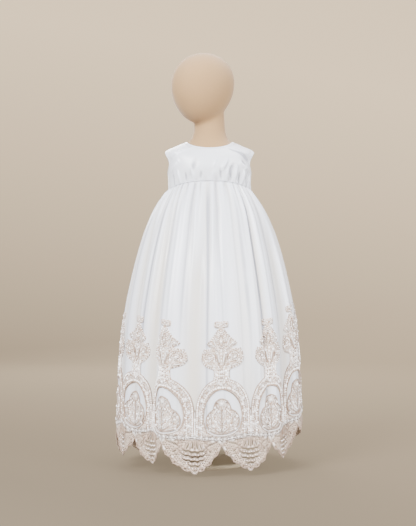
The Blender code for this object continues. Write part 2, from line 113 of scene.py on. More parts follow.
def buildStudio():
    camera = addToScene("camera", bpy.data.cameras.new("camera"))
    camera.data.lens = studio["lens"]
    camera.data.sensor_width = 36
    camera.data.dof.use_dof = False
    camera.location = studio["camera"]
    camera.rotation_euler = (math.radians(90), 0, 0)
    bpy.context.scene.camera = camera

    for name, place, size, power, aim in studio["lamps"]:
        lamp = addToScene(name, bpy.data.lights.new(name, "AREA"))
        lamp.data.shape = "DISK"
        lamp.data.size = size
        lamp.data.energy = power
        lamp.location = place
        lamp.rotation_euler = (Vector((0, 0, aim)) - Vector(place)).to_track_quat("-Z", "Y").to_euler()

    world = bpy.data.worlds.new("studio air")
    world.use_nodes = True
    background = world.node_tree.nodes["Background"]
    background.inputs[0].default_value = linearColour(studio["air"])
    background.inputs[1].default_value = studio["airStrength"]
    bpy.context.scene.world = world

    # matt wall paint, no gloss, that gives off a glow of its own colour, which lifts the shadows on it; the colour is a
    # painted light falloff, lighter towards the top, the back and the right
    material, tree, shader, places = newMaterial("matt emulsion, glow and painted falloff")
    where = addNode(tree, "ShaderNodeSeparateXYZ", None, {0: places["Object"]}).outputs
    back = addNode(tree, "ShaderNodeMath", {"operation": "MULTIPLY"}, {0: where[1], 1: studio["shadeBack"]})
    links = {0: where[0], 1: studio["shadeRight"], 2: back.outputs[0]}
    across = addNode(tree, "ShaderNodeMath", {"operation": "MULTIPLY_ADD"}, links)
    rise = addNode(tree, "ShaderNodeMath", {"operation": "ADD"}, {0: where[2], 1: across.outputs[0]})
    bottom, top = studio["shadeEnds"]
    share = addNode(tree, "ShaderNodeMapRange", None, {0: rise.outputs[0], 1: bottom, 2: top})
    links = {0: share.outputs[0], 6: studio["floorNear"], 7: studio["wallTop"]}
    colour = addNode(tree, "ShaderNodeMix", {"data_type": "RGBA"}, links).outputs[2]
    fillSockets(tree, shader, {
        "Base Color": colour, "Emission Color": colour, "Emission Strength": studio["coveGlow"],
        "Roughness": 0.95, "Specular IOR Level": 0.0,
    })

    # one sweep from floor to wall
    start, radius, steps = studio["coveStart"], studio["coveRadius"], studio["coveSteps"]
    profile = [(studio["coveFront"], 0.0), (start, 0.0)]
    for turn in (math.pi / 2 * step / steps for step in range(1, steps + 1)):
        profile.append((start + radius * math.sin(turn), radius - radius * math.cos(turn)))
    profile.append((start + radius, studio["coveTop"]))
    half, drop = studio["coveHalf"], studio["coveDrop"]
    mesh = bpy.data.meshes.new("cove")
    points = [(x, y, z - drop) for y, z in profile for x in (-half, half)]
    mesh.from_pydata(points, [], [(2 * k, 2 * k + 1, 2 * k + 3, 2 * k + 2) for k in range(len(profile) - 1)])
    mesh.materials.append(material)
    mesh.shade_smooth()
    addToScene("cove", mesh)


buildStudio()
print("studio built")

# the skirt's form, worked out as the sewn skirt hangs: rings, folds and gathers

skirt = {
    "linesPerHalf": 6,  # column lines from a lace point to the next notch
    "rightSeam": -33,  # column lines of the side seams
    "leftSeam": 39,
    "columnsPerLine": 5,
    "lineWidth": 9.7,  # cloth between two column lines
    "wall": 1.0,
    "seamGap": 0.3,
    "hemRing": 8,
    "ringFall": 1.3,  # how fast a ring falls from its front height to its side height
    "scallopPower": 1.9,
    "broadFold": 4.0,
    "gatherHeight": 2.0,
    "gatherLines": 4,
    "gatherFade": 75,
    "creaseGain": 1.35,
    "pleatHeight": 5.0,
    "pleatLines": 3.2,
    "pleatFade": 58,
    "puckerHeight": 1.7,
    "puckerFade": 20,
    "foldMarks": (404, 421),  # heights of two old fold marks
    "foldMarkHeight": 0.5,
    "foldMarkAngle": 20,
    "hemRoll": 0.5,
}

# angle, height of the lace's edge, height of the satin's hem, at each lace point and each notch in turn
placeAngle, placeEdge, placeHem = range(3)
lacePlaces = np.array([
    (-9, 5, 83), (7, 60, 82), (25.5, 11, 88), (40, 57, 86), (52, 29, 102), (66, 88, 112),
    (83, 64, 124), (97, 92, 115), (114, 34, 108), (129, 68, 94), (144, 10, 88), (158, 60, 83),
    (173, 5, 83), (188, 60, 82), (203, 7, 85), (218, 62, 84), (234, 12, 90), (250, 66, 88),
    (264, 20, 97), (276, 70, 94), (290, 27, 102), (308, 63, 90), (322, 22, 94), (331, 58, 85),
], dtype=float)

# side height, front height, back height, half width, front depth, back depth, squareness
skirtRings = np.array([
    (596, 616, 600, 90.0, 70, 60, 0.88),
    (586, 604, 590, 98.0, 79, 70, 0.90),
    (566, 582, 569, 113.0, 92, 84, 0.93),
    (536, 546, 538, 130.5, 108, 101, 0.96),
    (488, 492, 489, 149.0, 127, 121, 1.00),
    (420, 421, 420, 167.0, 147, 142, 1.00),
    (322, 322, 322, 186.0, 165, 163, 1.00),
    (210, 210, 210, 195.5, 176, 176, 1.00),
    (84, 84, 84, 200.0, 180, 182, 1.00),
    (0, 0, 0, 201.0, 180, 183, 1.00),
], dtype=float)

# angle at the waist, angle at the hem, half width, height, share where it starts and where it ends
skirtFolds = [
    (-1, -1, 4.5, -2.8, 0.00, 0.40), (-7, -11, 8.0, -3.6, 0.25, 1.00), (14, 11, 9.0, 2.0, 0.00, 0.60),
    (29, 29, 7.0, 2.6, 0.00, 0.85), (37.5, 38, 6.0, -6.0, 0.03, 1.00), (45, 46, 7.0, 4.6, 0.02, 1.00),
    (59, 58, 8.0, -4.0, 0.15, 1.00), (68, 71, 9.0, 3.6, 0.00, 1.00), (-24, -22, 9.0, 2.4, 0.00, 0.80),
    (-38, -38, 7.0, -4.4, 0.02, 1.00), (-61, -51, 7.0, -5.4, 0.06, 1.00), (-72, -63, 9.0, 4.2, 0.00, 1.00),
    (-80, -80, 8.0, -3.2, 0.05, 1.00), (84, 85, 7.0, -3.2, 0.05, 1.00), (104, 101, 8.0, 4.0, 0.00, 1.00),
    (119, 120, 7.0, -4.4, 0.06, 1.00), (137, 134, 9.0, 4.0, 0.00, 1.00), (151, 153, 7.0, -4.6, 0.04, 1.00),
    (170, 167, 8.0, 4.2, 0.00, 0.85), (183, 185, 6.0, -4.4, 0.02, 1.00), (200, 203, 9.0, 3.8, 0.00, 1.00),
    (217, 220, 7.0, -4.6, 0.06, 1.00), (236, 235, 8.0, 4.0, 0.00, 1.00), (254, 257, 7.0, -3.8, 0.05, 1.00),
]


waistHeight, bendHeight, hemHeight = skirtRings[[0, skirt["hemRing"] - 1, skirt["hemRing"]], 0]
skirtLength = waistHeight - hemHeight
halfSeam = skirt["seamGap"] / 2 * mm


def smoothRun(before, start, end, after, share):
    # a smooth curve from start to end, which knows its neighbours
    slopeIn, slopeOut, rise = (end - before) / 2, (after - start) / 2, end - start
    bend = slopeIn + slopeOut - 2 * rise
    return start + share * (slopeIn + share * (3 * rise - 2 * slopeIn - slopeOut + share * bend))


def bump(distance, width):
    return np.exp(-((distance / width) ** 2))


def ramp(value, length):
    # 0 at nothing, 1 from the length on
    return np.clip(value / length, 0, 1)


def degreesFrom(angle, centre):
    return (angle - centre + 180) % 360 - 180


def readPlaces(column, line):
    place = np.asarray(line, float) / skirt["linesPerHalf"]
    low = np.floor(place + 1e-9).astype(int)

    def value(number):
        turns, inside = np.divmod(number, len(lacePlaces))
        return lacePlaces[inside, column] + (360 * turns if column == placeAngle else 0)

    return smoothRun(*[value(low + step) for step in (-1, 0, 1, 2)], place - low)


def readRings(rings, place):
    place = np.asarray(place, float)
    low = np.clip(place.astype(int), 0, len(rings) - 2)
    rows = [rings[np.clip(low + step, 0, len(rings) - 1)] for step in (-1, 0, 1, 2)]
    return smoothRun(*rows, (place - low)[..., None])


denseRings = np.linspace(4, 9, 600)
denseHeights = readRings(skirtRings, denseRings)[:, 0]


def ringPlace(height):
    # which ring lies at a height, in the skirt's lower part, where rings are level
    return np.interp(-np.asarray(height, float), -denseHeights, denseRings)


def foldHeight(line, angle, share):
    # the broad fold of each lace repeat, and the largest folds
    height = -skirt["broadFold"] * share * np.cos(np.pi * line / skirt["linesPerHalf"])
    for waist, hem, halfWidth, size, top, bottom in skirtFolds:
        ends = ramp(share - top, 0.12) if top else 1.0
        if bottom < 1:
            ends = ends * ramp(bottom - share, 0.2)
        away = ramp(np.abs(degreesFrom(angle, waist + (hem - waist) * share)), halfWidth)
        height = height + size * ends * (0.5 + 0.5 * np.cos(np.pi * away))
    return height * np.minimum(1.0, 0.25 + 2.5 * share)


def gatherHeight(line, angle, below):
    uneven = 0.8 + 0.2 * np.sin(np.radians(angle * 7))
    main = skirt["gatherHeight"] * uneven * np.cos(2 * np.pi * line / skirt["gatherLines"])
    return main * np.exp(-below / skirt["gatherFade"])


def ringPoints(rows, angle, lift=0.0):
    sideZ, frontZ, backZ, halfWidth, frontDepth, backDepth, square = np.moveaxis(rows, -1, 0)
    s, c = np.sin(np.radians(angle)), np.cos(np.radians(angle))
    depth = np.where(c > 0, frontDepth, backDepth)
    endZ = np.where(c > 0, frontZ, backZ)
    x = halfWidth * np.sign(s) * np.abs(s) ** square
    y = -depth * np.sign(c) * np.abs(c) ** square
    z = sideZ + (endZ - sideZ) * np.abs(c) ** skirt["ringFall"]
    outX, outY = s * depth, -c * halfWidth
    size = np.hypot(outX, outY)
    return np.stack([x + outX / size * lift, y + outY / size * lift, z], -1)


# narrow creases: angle at the waist and at the hem, width and height
skirtCreases = [
    (-1, -2, 1.9, -2.6), (3, 4, 2.4, 1.4), (7.5, 9, 2.4, -1.2), (18, 21, 2.6, 1.6), (26, 27, 2.6, -1.3),
    (34.3, 35.3, 2.2, 2.4), (36.8, 37.8, 1.9, -3.2), (42, 43, 2.6, 1.6), (53, 51, 3.0, -1.4), (64, 66, 3.0, 1.6),
    (74, 76, 3.0, -1.5), (-12, -14, 2.6, 1.4), (-17, -20, 2.8, -1.4), (-27, -28, 2.6, 1.5), (-33, -33, 2.6, -1.3),
    (-44, -43, 2.6, 1.6), (-50, -47, 3.0, -1.6), (-58, -55, 3.0, 1.5), (-70, -66, 3.0, -1.4), (-78, -76, 3.0, 1.4),
    (95, 96, 3, 1.5), (112, 112, 3, -1.5), (128, 128, 3, 1.5), (144, 143, 3, 1.4), (160, 160, 3, -1.6),
    (176, 177, 3, 1.5), (192, 194, 3, -1.4), (210, 211, 3, 1.5), (227, 228, 3, -1.5), (246, 246, 3, 1.5),
    (262, 264, 3, -1.4),
]


def fineHeight(line, angle, below, height):
    # soft streaks down the cloth, narrow creases, pleats and puckers under the seam, and two old fold marks
    share = ramp(below, skirtLength)
    crisp = np.zeros_like(angle)
    for top, bottom, width, size in skirtCreases:
        away = degreesFrom(angle, top + (bottom - top) * share) * np.clip(1.2 + 2.2 * share, 0, 3.3)
        crisp += skirt["creaseGain"] * size * bump(away, width) * ramp(share, 0.1)
    streaks = 0.8 * np.sin(line * 1.7 + 2.2 * np.sin(share * 4.0)) + 0.5 * np.sin(line * 2.9 + 1.3 + 2.5 * share)
    streaks = streaks * ramp(share, 1 / 6) * (0.6 + 0.4 * np.sin(line * 0.41 + 3 * share))
    pleats = np.abs(np.sin(line * np.pi / skirt["pleatLines"] + 1.1 * np.sin(line * 0.37))) - 0.6
    pleats = pleats * ramp(below, 5) * np.exp(-below / skirt["pleatFade"]) * (0.7 + 0.3 * np.sin(line * 1.3))
    pucker = np.sin(line * 3.1 + 1.4 * np.sin(line * 0.9)) * ramp(below, 4) * np.exp(-below / skirt["puckerFade"])
    marks = sum(bump(height - z, 2.2) for z in skirt["foldMarks"]) * (1 - ramp(abs(angle - skirt["foldMarkAngle"]), 30))
    soft = (streaks + crisp) * (1 - 0.45 * ramp(share - 0.45, 0.2))  # calmer under the lace
    return soft + skirt["pleatHeight"] * pleats + skirt["puckerHeight"] * pucker + skirt["foldMarkHeight"] * marks


def skirtPoints(line, place, height=None, lift=0.0):
    # points of the draped cloth, at a ring or, where one is given, at an exact height
    line, place = np.broadcast_arrays(np.asarray(line, float), np.asarray(place, float))
    angle = readPlaces(placeAngle, line)
    rows = readRings(skirtRings, place)
    below = waistHeight - rows[..., 0]
    raised = foldHeight(line, angle, ramp(below, skirtLength)) + gatherHeight(line, angle, below) + lift
    raised = raised + fineHeight(line, angle, below, rows[..., 0] if height is None else height)
    points = ringPoints(rows, angle, raised)
    if height is not None:
        points[..., 2] = height
    return points * mm


def edgeHeight(line):
    # the scalloped edge: a point, and a notch on each side of it
    half, count = skirt["linesPerHalf"], len(lacePlaces)
    away = (line + half) % (2 * half) - half
    tip = np.rint((line - away) / half).astype(int)
    notch = tip + np.where(away > 0, 1, -1)
    tipZ, notchZ = lacePlaces[tip % count, placeEdge], lacePlaces[notch % count, placeEdge]
    return tipZ + (notchZ - tipZ) * np.abs(away / half) ** skirt["scallopPower"]


def meshObject(name, points, faces, material, flat=None):
    # flat is the cloth's own map in metres, a place for each point
    mesh = bpy.data.meshes.new(name)
    mesh.from_pydata(np.asarray(points).tolist(), [], faces)
    if flat is not None:
        layer = mesh.uv_layers.new(name="cloth")
        corners = np.empty(len(mesh.loops), dtype=np.int32)
        mesh.loops.foreach_get("vertex_index", corners)
        layer.data.foreach_set("uv", np.asarray(flat, dtype=np.float32)[corners].ravel())
    work = bmesh.new()
    work.from_mesh(mesh)
    bmesh.ops.recalc_face_normals(work, faces=work.faces)
    work.to_mesh(mesh)
    work.free()
    mesh.materials.append(material)
    mesh.shade_smooth()
    return addToScene(name, mesh)


def setAttribute(mesh, key, values):
    # one value for each point, or a vector where values has three columns
    kind, part = ("FLOAT_VECTOR", "vector") if values.ndim == 2 else ("FLOAT", "value")
    layer = mesh.attributes.new(key, kind, "POINT")
    layer.data.foreach_set(part, np.ascontiguousarray(values, dtype=np.float32).ravel())


def triangleCount(piece):
    return sum(len(face.vertices) - 2 for face in piece.data.polygons)


def bakeModifiers(piece):
    shown = bpy.context.evaluated_depsgraph_get()
    mesh = bpy.data.meshes.new_from_object(piece.evaluated_get(shown))
    old = piece.data
    piece.modifiers.clear()
    piece.data = mesh
    bpy.data.meshes.remove(old)
    mesh.name = piece.name
    return piece


# materials

def satinMaterial():
    # duchesse satin, polyester, warp faced: a smooth soft gloss, with faint lighter and darker streaks that run down
    # the cloth,
    # and painted shade: a warm tone painted into the troughs of its folds and a cool grey painted into sharp creases
    material, tree, shader, places = newMaterial("duchesse satin, woven")
    streaks = addNode(tree, "ShaderNodeMapping", None, {0: places["UV"], 3: (120, 5, 1)})
    weave = addNode(tree, "ShaderNodeMapping", None, {0: places["UV"], 3: (900, 300, 1)})
    links = {"Vector": streaks.outputs[0], "Scale": 1.0, "Detail": 3.0}
    cloud = addNode(tree, "ShaderNodeTexNoise", None, links).outputs["Fac"]
    links = {"Vector": weave.outputs[0], "Scale": 1.0, "Detail": 1.0}
    thread = addNode(tree, "ShaderNodeTexNoise", None, links).outputs["Fac"]
    trough = addNode(tree, "ShaderNodeAttribute", {"attribute_name": "trough"}).outputs["Fac"]
    crease = addNode(tree, "ShaderNodeAttribute", {"attribute_name": "crease"}).outputs["Fac"]
    colour = addNode(tree, "ShaderNodeMix", {"data_type": "RGBA"}, {0: cloud, 6: "#f4f6fd", 7: "#eaedf5"})
    # painted shade: warm cream mixed in at the folds' troughs, cool grey at sharp creases and seam lines
    for factor, shade in ((trough, "#e5ddd1"), (crease, "#b1b2bb")):
        links = {0: factor, 6: colour.outputs[2], 7: shade}
        colour = addNode(tree, "ShaderNodeMix", {"data_type": "RGBA"}, links)
    gloss = addNode(tree, "ShaderNodeMapRange", None, {0: thread, 1: 0.0, 2: 1.0, 3: 0.28, 4: 0.42})
    relief = addNode(tree, "ShaderNodeBump", None, {"Height": thread, "Strength": 0.12, "Distance": 0.4 * mm})
    fillSockets(tree, shader, {
        "Base Color": colour.outputs[2], "Roughness": gloss.outputs[0], "Normal": relief.outputs[0],
        "Specular IOR Level": 0.7, "Sheen Weight": 0.2, "Sheen Roughness": 0.4,
    })
    return material


def threadMaterial(name, shadedFootHex, litRidgeHex, paleHex, roughness, sheen, grain, threadScale):
    # stitched thread with painted shade and highlight: painted darker and warmer where it dips, painted lighter on its
    # ridge, with single threads as a fine grain
    material, tree, shader, places = newMaterial(name)
    links = {"Vector": places["UV"], "Scale": threadScale, "Detail": 2.0}
    threads = addNode(tree, "ShaderNodeTexNoise", None, links).outputs["Fac"]
    links = {"Vector": places["UV"], "Scale": 90.0, "Detail": 1.0}
    worn = addNode(tree, "ShaderNodeTexNoise", None, links).outputs["Fac"]
    rise = addNode(tree, "ShaderNodeAttribute", {"attribute_name": "rise"})
    shift = addNode(tree, "ShaderNodeMath", {"operation": "MULTIPLY_ADD"}, {0: threads, 1: 0.5, 2: -0.25})
    links = {0: rise.outputs["Fac"], 1: shift.outputs[0]}
    raised = addNode(tree, "ShaderNodeMath", {"operation": "ADD", "use_clamp": True}, links)
    ridge = addNode(tree, "ShaderNodeMix", {"data_type": "RGBA"}, {0: worn, 6: litRidgeHex, 7: paleHex})
    links = {0: raised.outputs[0], 6: shadedFootHex, 7: ridge.outputs[2]}
    colour = addNode(tree, "ShaderNodeMix", {"data_type": "RGBA"}, links)
    relief = addNode(tree, "ShaderNodeBump", None, {"Height": threads, "Strength": grain, "Distance": 0.4 * mm})
    fillSockets(tree, shader, {
        "Base Color": colour.outputs[2], "Roughness": roughness, "Sheen Weight": sheen, "Normal": relief.outputs[0],
    })
    return material


def plainMaterial(name, firstHex, secondHex, roughness, grain=0.0, grainScale=900.0, others=None):
    # one finish, clouded between two near colours; others are more of the shader's sockets
    material, tree, shader, places = newMaterial(name)
    links = {"Vector": places["Object"], "Scale": grainScale, "Detail": 2.0}
    cloud = addNode(tree, "ShaderNodeTexNoise", None, links).outputs["Fac"]
    colour = addNode(tree, "ShaderNodeMix", {"data_type": "RGBA"}, {0: cloud, 6: firstHex, 7: secondHex})
    fillSockets(tree, shader, {
        "Base Color": colour.outputs[2], "Roughness": roughness, "Emission Color": firstHex, **(others or {}),
    })
    if grain:
        relief = addNode(tree, "ShaderNodeBump", None, {"Height": cloud, "Strength": grain, "Distance": 0.5 * mm})
        fillSockets(tree, shader, {"Normal": relief.outputs[0]})
    return material


def netMaterial():
    # nylon tulle laid on satin: threads a little darker than the white that shows through its cells
    material, tree, shader, places = newMaterial("nylon tulle, knitted")
    # real cells are 1.2 mm wide; drawn at 2.4 mm so that they show
    links = {"Vector": places["UV"], "Scale": 420.0}
    cells = addNode(tree, "ShaderNodeTexVoronoi", {"feature": "DISTANCE_TO_EDGE"}, links)
    links = {0: cells.outputs["Distance"], 1: 0.04, 2: 0.16, 3: 1.0, 4: 0.0}
    threads = addNode(tree, "ShaderNodeMapRange", None, links).outputs[0]
    net = addNode(tree, "ShaderNodeMix", {"data_type": "RGBA"}, {0: threads, 6: "#fbf8f5", 7: "#d3b69d"})
    # woven rosettes, 6 mm across
    links = {"Vector": places["UV"], "Scale": 165.0, "Randomness": 0.75}
    rosette = addNode(tree, "ShaderNodeTexVoronoi", {"feature": "F1"}, links)
    links = {0: rosette.outputs["Distance"], 1: 16.0}
    petals = addNode(tree, "ShaderNodeMath", {"operation": "MULTIPLY"}, links)
    rings = addNode(tree, "ShaderNodeMath", {"operation": "SINE"}, {0: petals.outputs[0]})
    woven = addNode(tree, "ShaderNodeMapRange", None, {0: rings.outputs[0], 1: 0.2, 2: 0.9, 3: 0.0, 4: 0.85})
    links = {0: woven.outputs[0], 6: net.outputs[2], 7: "#946a48"}
    colour = addNode(tree, "ShaderNodeMix", {"data_type": "RGBA"}, links)
    relief = addNode(tree, "ShaderNodeBump", None, {"Height": threads, "Strength": 0.5, "Distance": 0.5 * mm})
    fillSockets(tree, shader, {
        "Base Color": colour.outputs[2], "Roughness": 0.7, "Sheen Weight": 0.2, "Normal": relief.outputs[0],
    })
    return material


satin = satinMaterial()
tulle = netMaterial()
# dull rose-brown cord: the dark outline of every shape in the lace, painted darker at its foot as shade and lighter on
# its ridge as highlight
cordThread = threadMaterial("cotton gimp cord, twisted", "#70503a", "#b3917a", "#d6c1ad", 0.6, 0.3, 0.4, 700)
# bright white filling, with a warm shade painted where it dips at its edges and between its stitches
floss = threadMaterial("rayon floss, satin stitched", "#ab8a70", "#ffffff", "#f9f5f1", 0.4, 0.35, 0.3, 900)
# matt ivory-white ground of the scalloped border, with painted shade round its rim and its holes
ribbonLace = threadMaterial("cotton lace, machine made", "#ccb5a1", "#ffffff", "#f6f0ea", 0.6, 0.3, 0.5, 800)
# milky gloss; the glow stands in for the flash of a bead that is smaller than a dot of the picture
pearlCoatAndGlow = {"Coat Weight": 0.6, "Emission Strength": 0.4}
pearl = plainMaterial("glass pearl, lacquered", "#fffdfa", "#f6ede4", 0.18, others=pearlCoatAndGlow)
# sharp sparkle, with more of that glow
foilMetalAndGlow = {"Metallic": 0.3, "Emission Strength": 1.3}
foil = plainMaterial("sequin, foiled film", "#ffffff", "#fdf4ee", 0.15, others=foilMetalAndGlow)
# faint grey-white dashes along the seams
threadFinish = {"Sheen Weight": 0.3}
sewingThread = plainMaterial("polyester sewing thread, spun", "#d9d8dc", "#c4c3ca", 0.5, 0.3, 2500, threadFinish)
# warm matt skin of the form, with a fine knitted grain
jersey = plainMaterial("cotton jersey, knitted", "#ab885c", "#a07d52", 0.85, 0.25, 700, {"Sheen Weight": 0.25})
# dull beige coat on the stand
lacquer = plainMaterial("steel, powder coated", "#d6c6a8", "#cdbc9c", 0.6, 0.15, 600)
print("materials made")

# small parts of cloth shared by the pieces

def attach(piece, node=None):
    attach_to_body(piece, "root")
    if node:
        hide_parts(node)


def clothPiece(name, node, outer, inner, across, shades):
    # a closed wall between two grids of points, columns by rows; across places its columns on the flat cloth
    columns, rows = outer.shape[:2]
    far = columns * rows
    number = np.arange(far).reshape(columns, rows)
    a, b, c, d = number[:-1, :-1], number[:-1, 1:], number[1:, 1:], number[1:, :-1]
    outside = np.stack([a, b, c, d], -1).reshape(-1, 4)
    inside = np.stack([a, d, c, b], -1).reshape(-1, 4) + far
    rim = np.concatenate([number[0, ::-1], number[1:, 0], number[-1, 1:], number[-2:0:-1, -1]])
    following = np.roll(rim, -1)
    edges = np.stack([rim, following, following + far, rim + far], -1)
    steps = np.linalg.norm(np.diff(outer, axis=1), axis=2)
    down = np.concatenate([np.zeros((columns, 1)), np.cumsum(steps, axis=1)], 1)
    flat = np.stack([np.broadcast_to(across[:, None], down.shape), down], -1).reshape(-1, 2)
    points = np.concatenate([outer.reshape(-1, 3), inner.reshape(-1, 3)])
    faces = np.concatenate([outside, inside, edges]).tolist()
    piece = meshObject(name, points, faces, satin, np.concatenate([flat] * 2))
    for key, values in shades.items():
        setAttribute(piece.data, key, np.concatenate([values.ravel()] * 2))
    attach(piece, node)
    return piece


def placesBetween(*runs):
    # rows of points from ring to ring: where each run starts and ends, and how many it has
    return np.concatenate([np.linspace(*run)[:-1] for run in runs[:-1]] + [np.linspace(*runs[-1])])


# skirt panels

def skirtPanel(name, front, node):
    lastRing, hemRing = skirt["hemRing"] - 1, skirt["hemRing"]
    halfRound = len(lacePlaces) // 2 * skirt["linesPerHalf"]
    start = skirt["rightSeam"] if front else skirt["leftSeam"]
    lines = start + np.linspace(0, halfRound, halfRound * skirt["columnsPerLine"] + 1)
    places = placesBetween((0, 1, 8), (1, 3, 13), (3, lastRing, 23), (lastRing, hemRing, 17))
    line, place = np.meshgrid(lines, places, indexing="ij")
    hem = readPlaces(placeHem, line)
    low = place > lastRing
    height = readRings(skirtRings, place)[..., 0]
    height = np.where(low, bendHeight + (hem - bendHeight) * np.clip(place - lastRing, 0, 1), height)
    place = np.where(low, ringPlace(height), place)
    angle = readPlaces(placeAngle, line)
    below = waistHeight - readRings(skirtRings, place)[..., 0]
    turned = skirt["hemRoll"] * bump(height - hem - 2.2, 1.8) * low
    outer, inner = [skirtPoints(line, place, None, side * skirt["wall"] / 2 + turned) for side in (1, -1)]
    for grid in (outer, inner):
        grid[..., 2] = np.where(low, height * mm, grid[..., 2])
        grid[[0, -1], :, 1] += -halfSeam if front else halfSeam
    fine = fineHeight(line, angle, below, height)
    raised = foldHeight(line, angle, ramp(below, skirtLength)) + gatherHeight(line, angle, below)
    # painted shade: warm in the folds' troughs, grey in narrow creases, and a grey line under the waist seam as its
    # painted shadow
    shades = {
        "trough": np.clip(0.2 - raised / 8.0 - fine / 5.5 * np.exp(-below / 110), 0, 1),
        "crease": np.clip(-0.15 - fine / 2.2, 0, 1) + 0.7 * bump(below, 1.6),
    }
    piece = clothPiece(name, node, outer, inner, lines * skirt["lineWidth"] * mm, shades)


skirtPanel("skirtFront", True, "skirt_front")
skirtPanel("skirtBack", False, "skirt_back")
print("skirt sewn")

# bodice: a front and two halves of the back, which meet at the centre back

bodice = {
    "wall": 1.1,
    "frontArmhole": 22,  # degrees that the armhole cuts in at its middle
    "backArmhole": 18,
    "underarm": 2,  # rings between which the armhole lies
    "shoulder": 4,
    "neckStep": 11.5,  # from ring to ring at the neck and at the waist
    "waistStep": 17,
    "degreeWidth": 1.5,  # cloth in a degree round
    "mapHalf": 140,  # half of the front on the cloth's own map
    "edgeHeight": 0.8,  # the turned edges' soft ridge
    "flare": 3.6,  # how far the armhole's edge stands away from the arm
    "dip": 0.45,  # depth and place of the stitched line beside an edge
    "dipPlace": 4.2,
    "gatherHeight": 1.6,
    "gatherLines": 4.3,
    "gatherFade": 12,
}

bodiceRings = np.array([
    (597.2, 617.4, 601.4, 90.0, 70.0, 60.0, 0.88),
    (615.0, 631.0, 616.0, 90.0, 73.0, 61.5, 0.88),
    (632.0, 645.0, 634.0, 91.0, 74.0, 62.0, 0.87),
    (659.0, 657.0, 660.0, 92.5, 72.0, 61.0, 0.86),
    (685.0, 669.0, 676.0, 92.0, 67.0, 57.0, 0.85),
    (696.5, 680.0, 688.0, 72.0, 60.0, 51.0, 0.87),
    (706.0, 689.0, 699.0, 50.0, 53.0, 45.0, 0.90),
], dtype=float)

# creases: angle and height where each starts and ends, half width and height
bodiceCreases = [
    (40, 691, 60, 673, 3.4, 0.75), (38, 684, 60, 662, 4.0, -0.7), (44, 656, 66, 634, 4.5, 1.1),
    (20, 660, 15, 640, 3.6, 1.0), (30, 652, 25, 632, 3.4, -0.5), (-36, 690, -58, 670, 3.8, 0.6),
    (-44, 660, -60, 634, 4.5, 0.9), (-14, 662, -24, 630, 4.5, -0.3), (13, 621, 12, 642, 1.9, -0.6),
    (21, 619, 23, 646, 2.2, 0.8), (27, 618, 28, 636, 1.7, -0.7), (34, 616, 37, 648, 2.2, 0.9),
    (41, 614, 43, 634, 1.8, -0.7), (49, 611, 53, 644, 2.2, 0.9), (57, 609, 60, 632, 1.9, -0.6),
    (66, 606, 69, 636, 2.4, 0.8), (-10, 622, -9, 636, 1.8, -0.5), (-20, 620, -22, 644, 2.2, 0.7),
    (-31, 618, -32, 634, 1.8, -0.5), (-42, 614, -46, 640, 2.2, 0.8), (-56, 610, -58, 634, 2.2, -0.6),
    (3, 623, 5, 640, 1.8, 0.5), (46, 660, 58, 646, 2.2, -0.8), (8, 668, 4, 644, 2.0, 0.4),
    (150, 606, 150, 634, 3.0, 0.9), (135, 606, 133, 630, 3.0, 0.8), (-150, 606, -150, 632, 3.0, 0.9),
    (-132, 606, -130, 632, 3.0, 0.8), (142, 684, 126, 664, 4.6, 0.4), (-142, 684, -126, 664, 4.6, 0.4),
    (166, 660, 160, 630, 5.0, 0.7), (-165, 664, -158, 634, 5.0, 0.7),
]

# which column line of the skirt meets the bodice at each angle
columnLines = np.linspace(-40, 110, 1501)
columnAngles = readPlaces(placeAngle, columnLines)


def creaseHeight(angle, height):
    total, degree = np.zeros_like(angle), 1.55
    for startAngle, startZ, endAngle, endZ, width, size in bodiceCreases:
        run = np.array([(endAngle - startAngle) * degree, endZ - startZ])
        x, y = (angle - startAngle) * degree, height - startZ
        along = np.clip((x * run[0] + y * run[1]) / (run @ run), 0, 1)
        away = np.hypot(x - along * run[0], y - along * run[1])
        total += size * bump(away, width) * (1.1 + 4.4 * np.sin(np.pi * np.clip(along, 0.08, 0.92)))
    return total


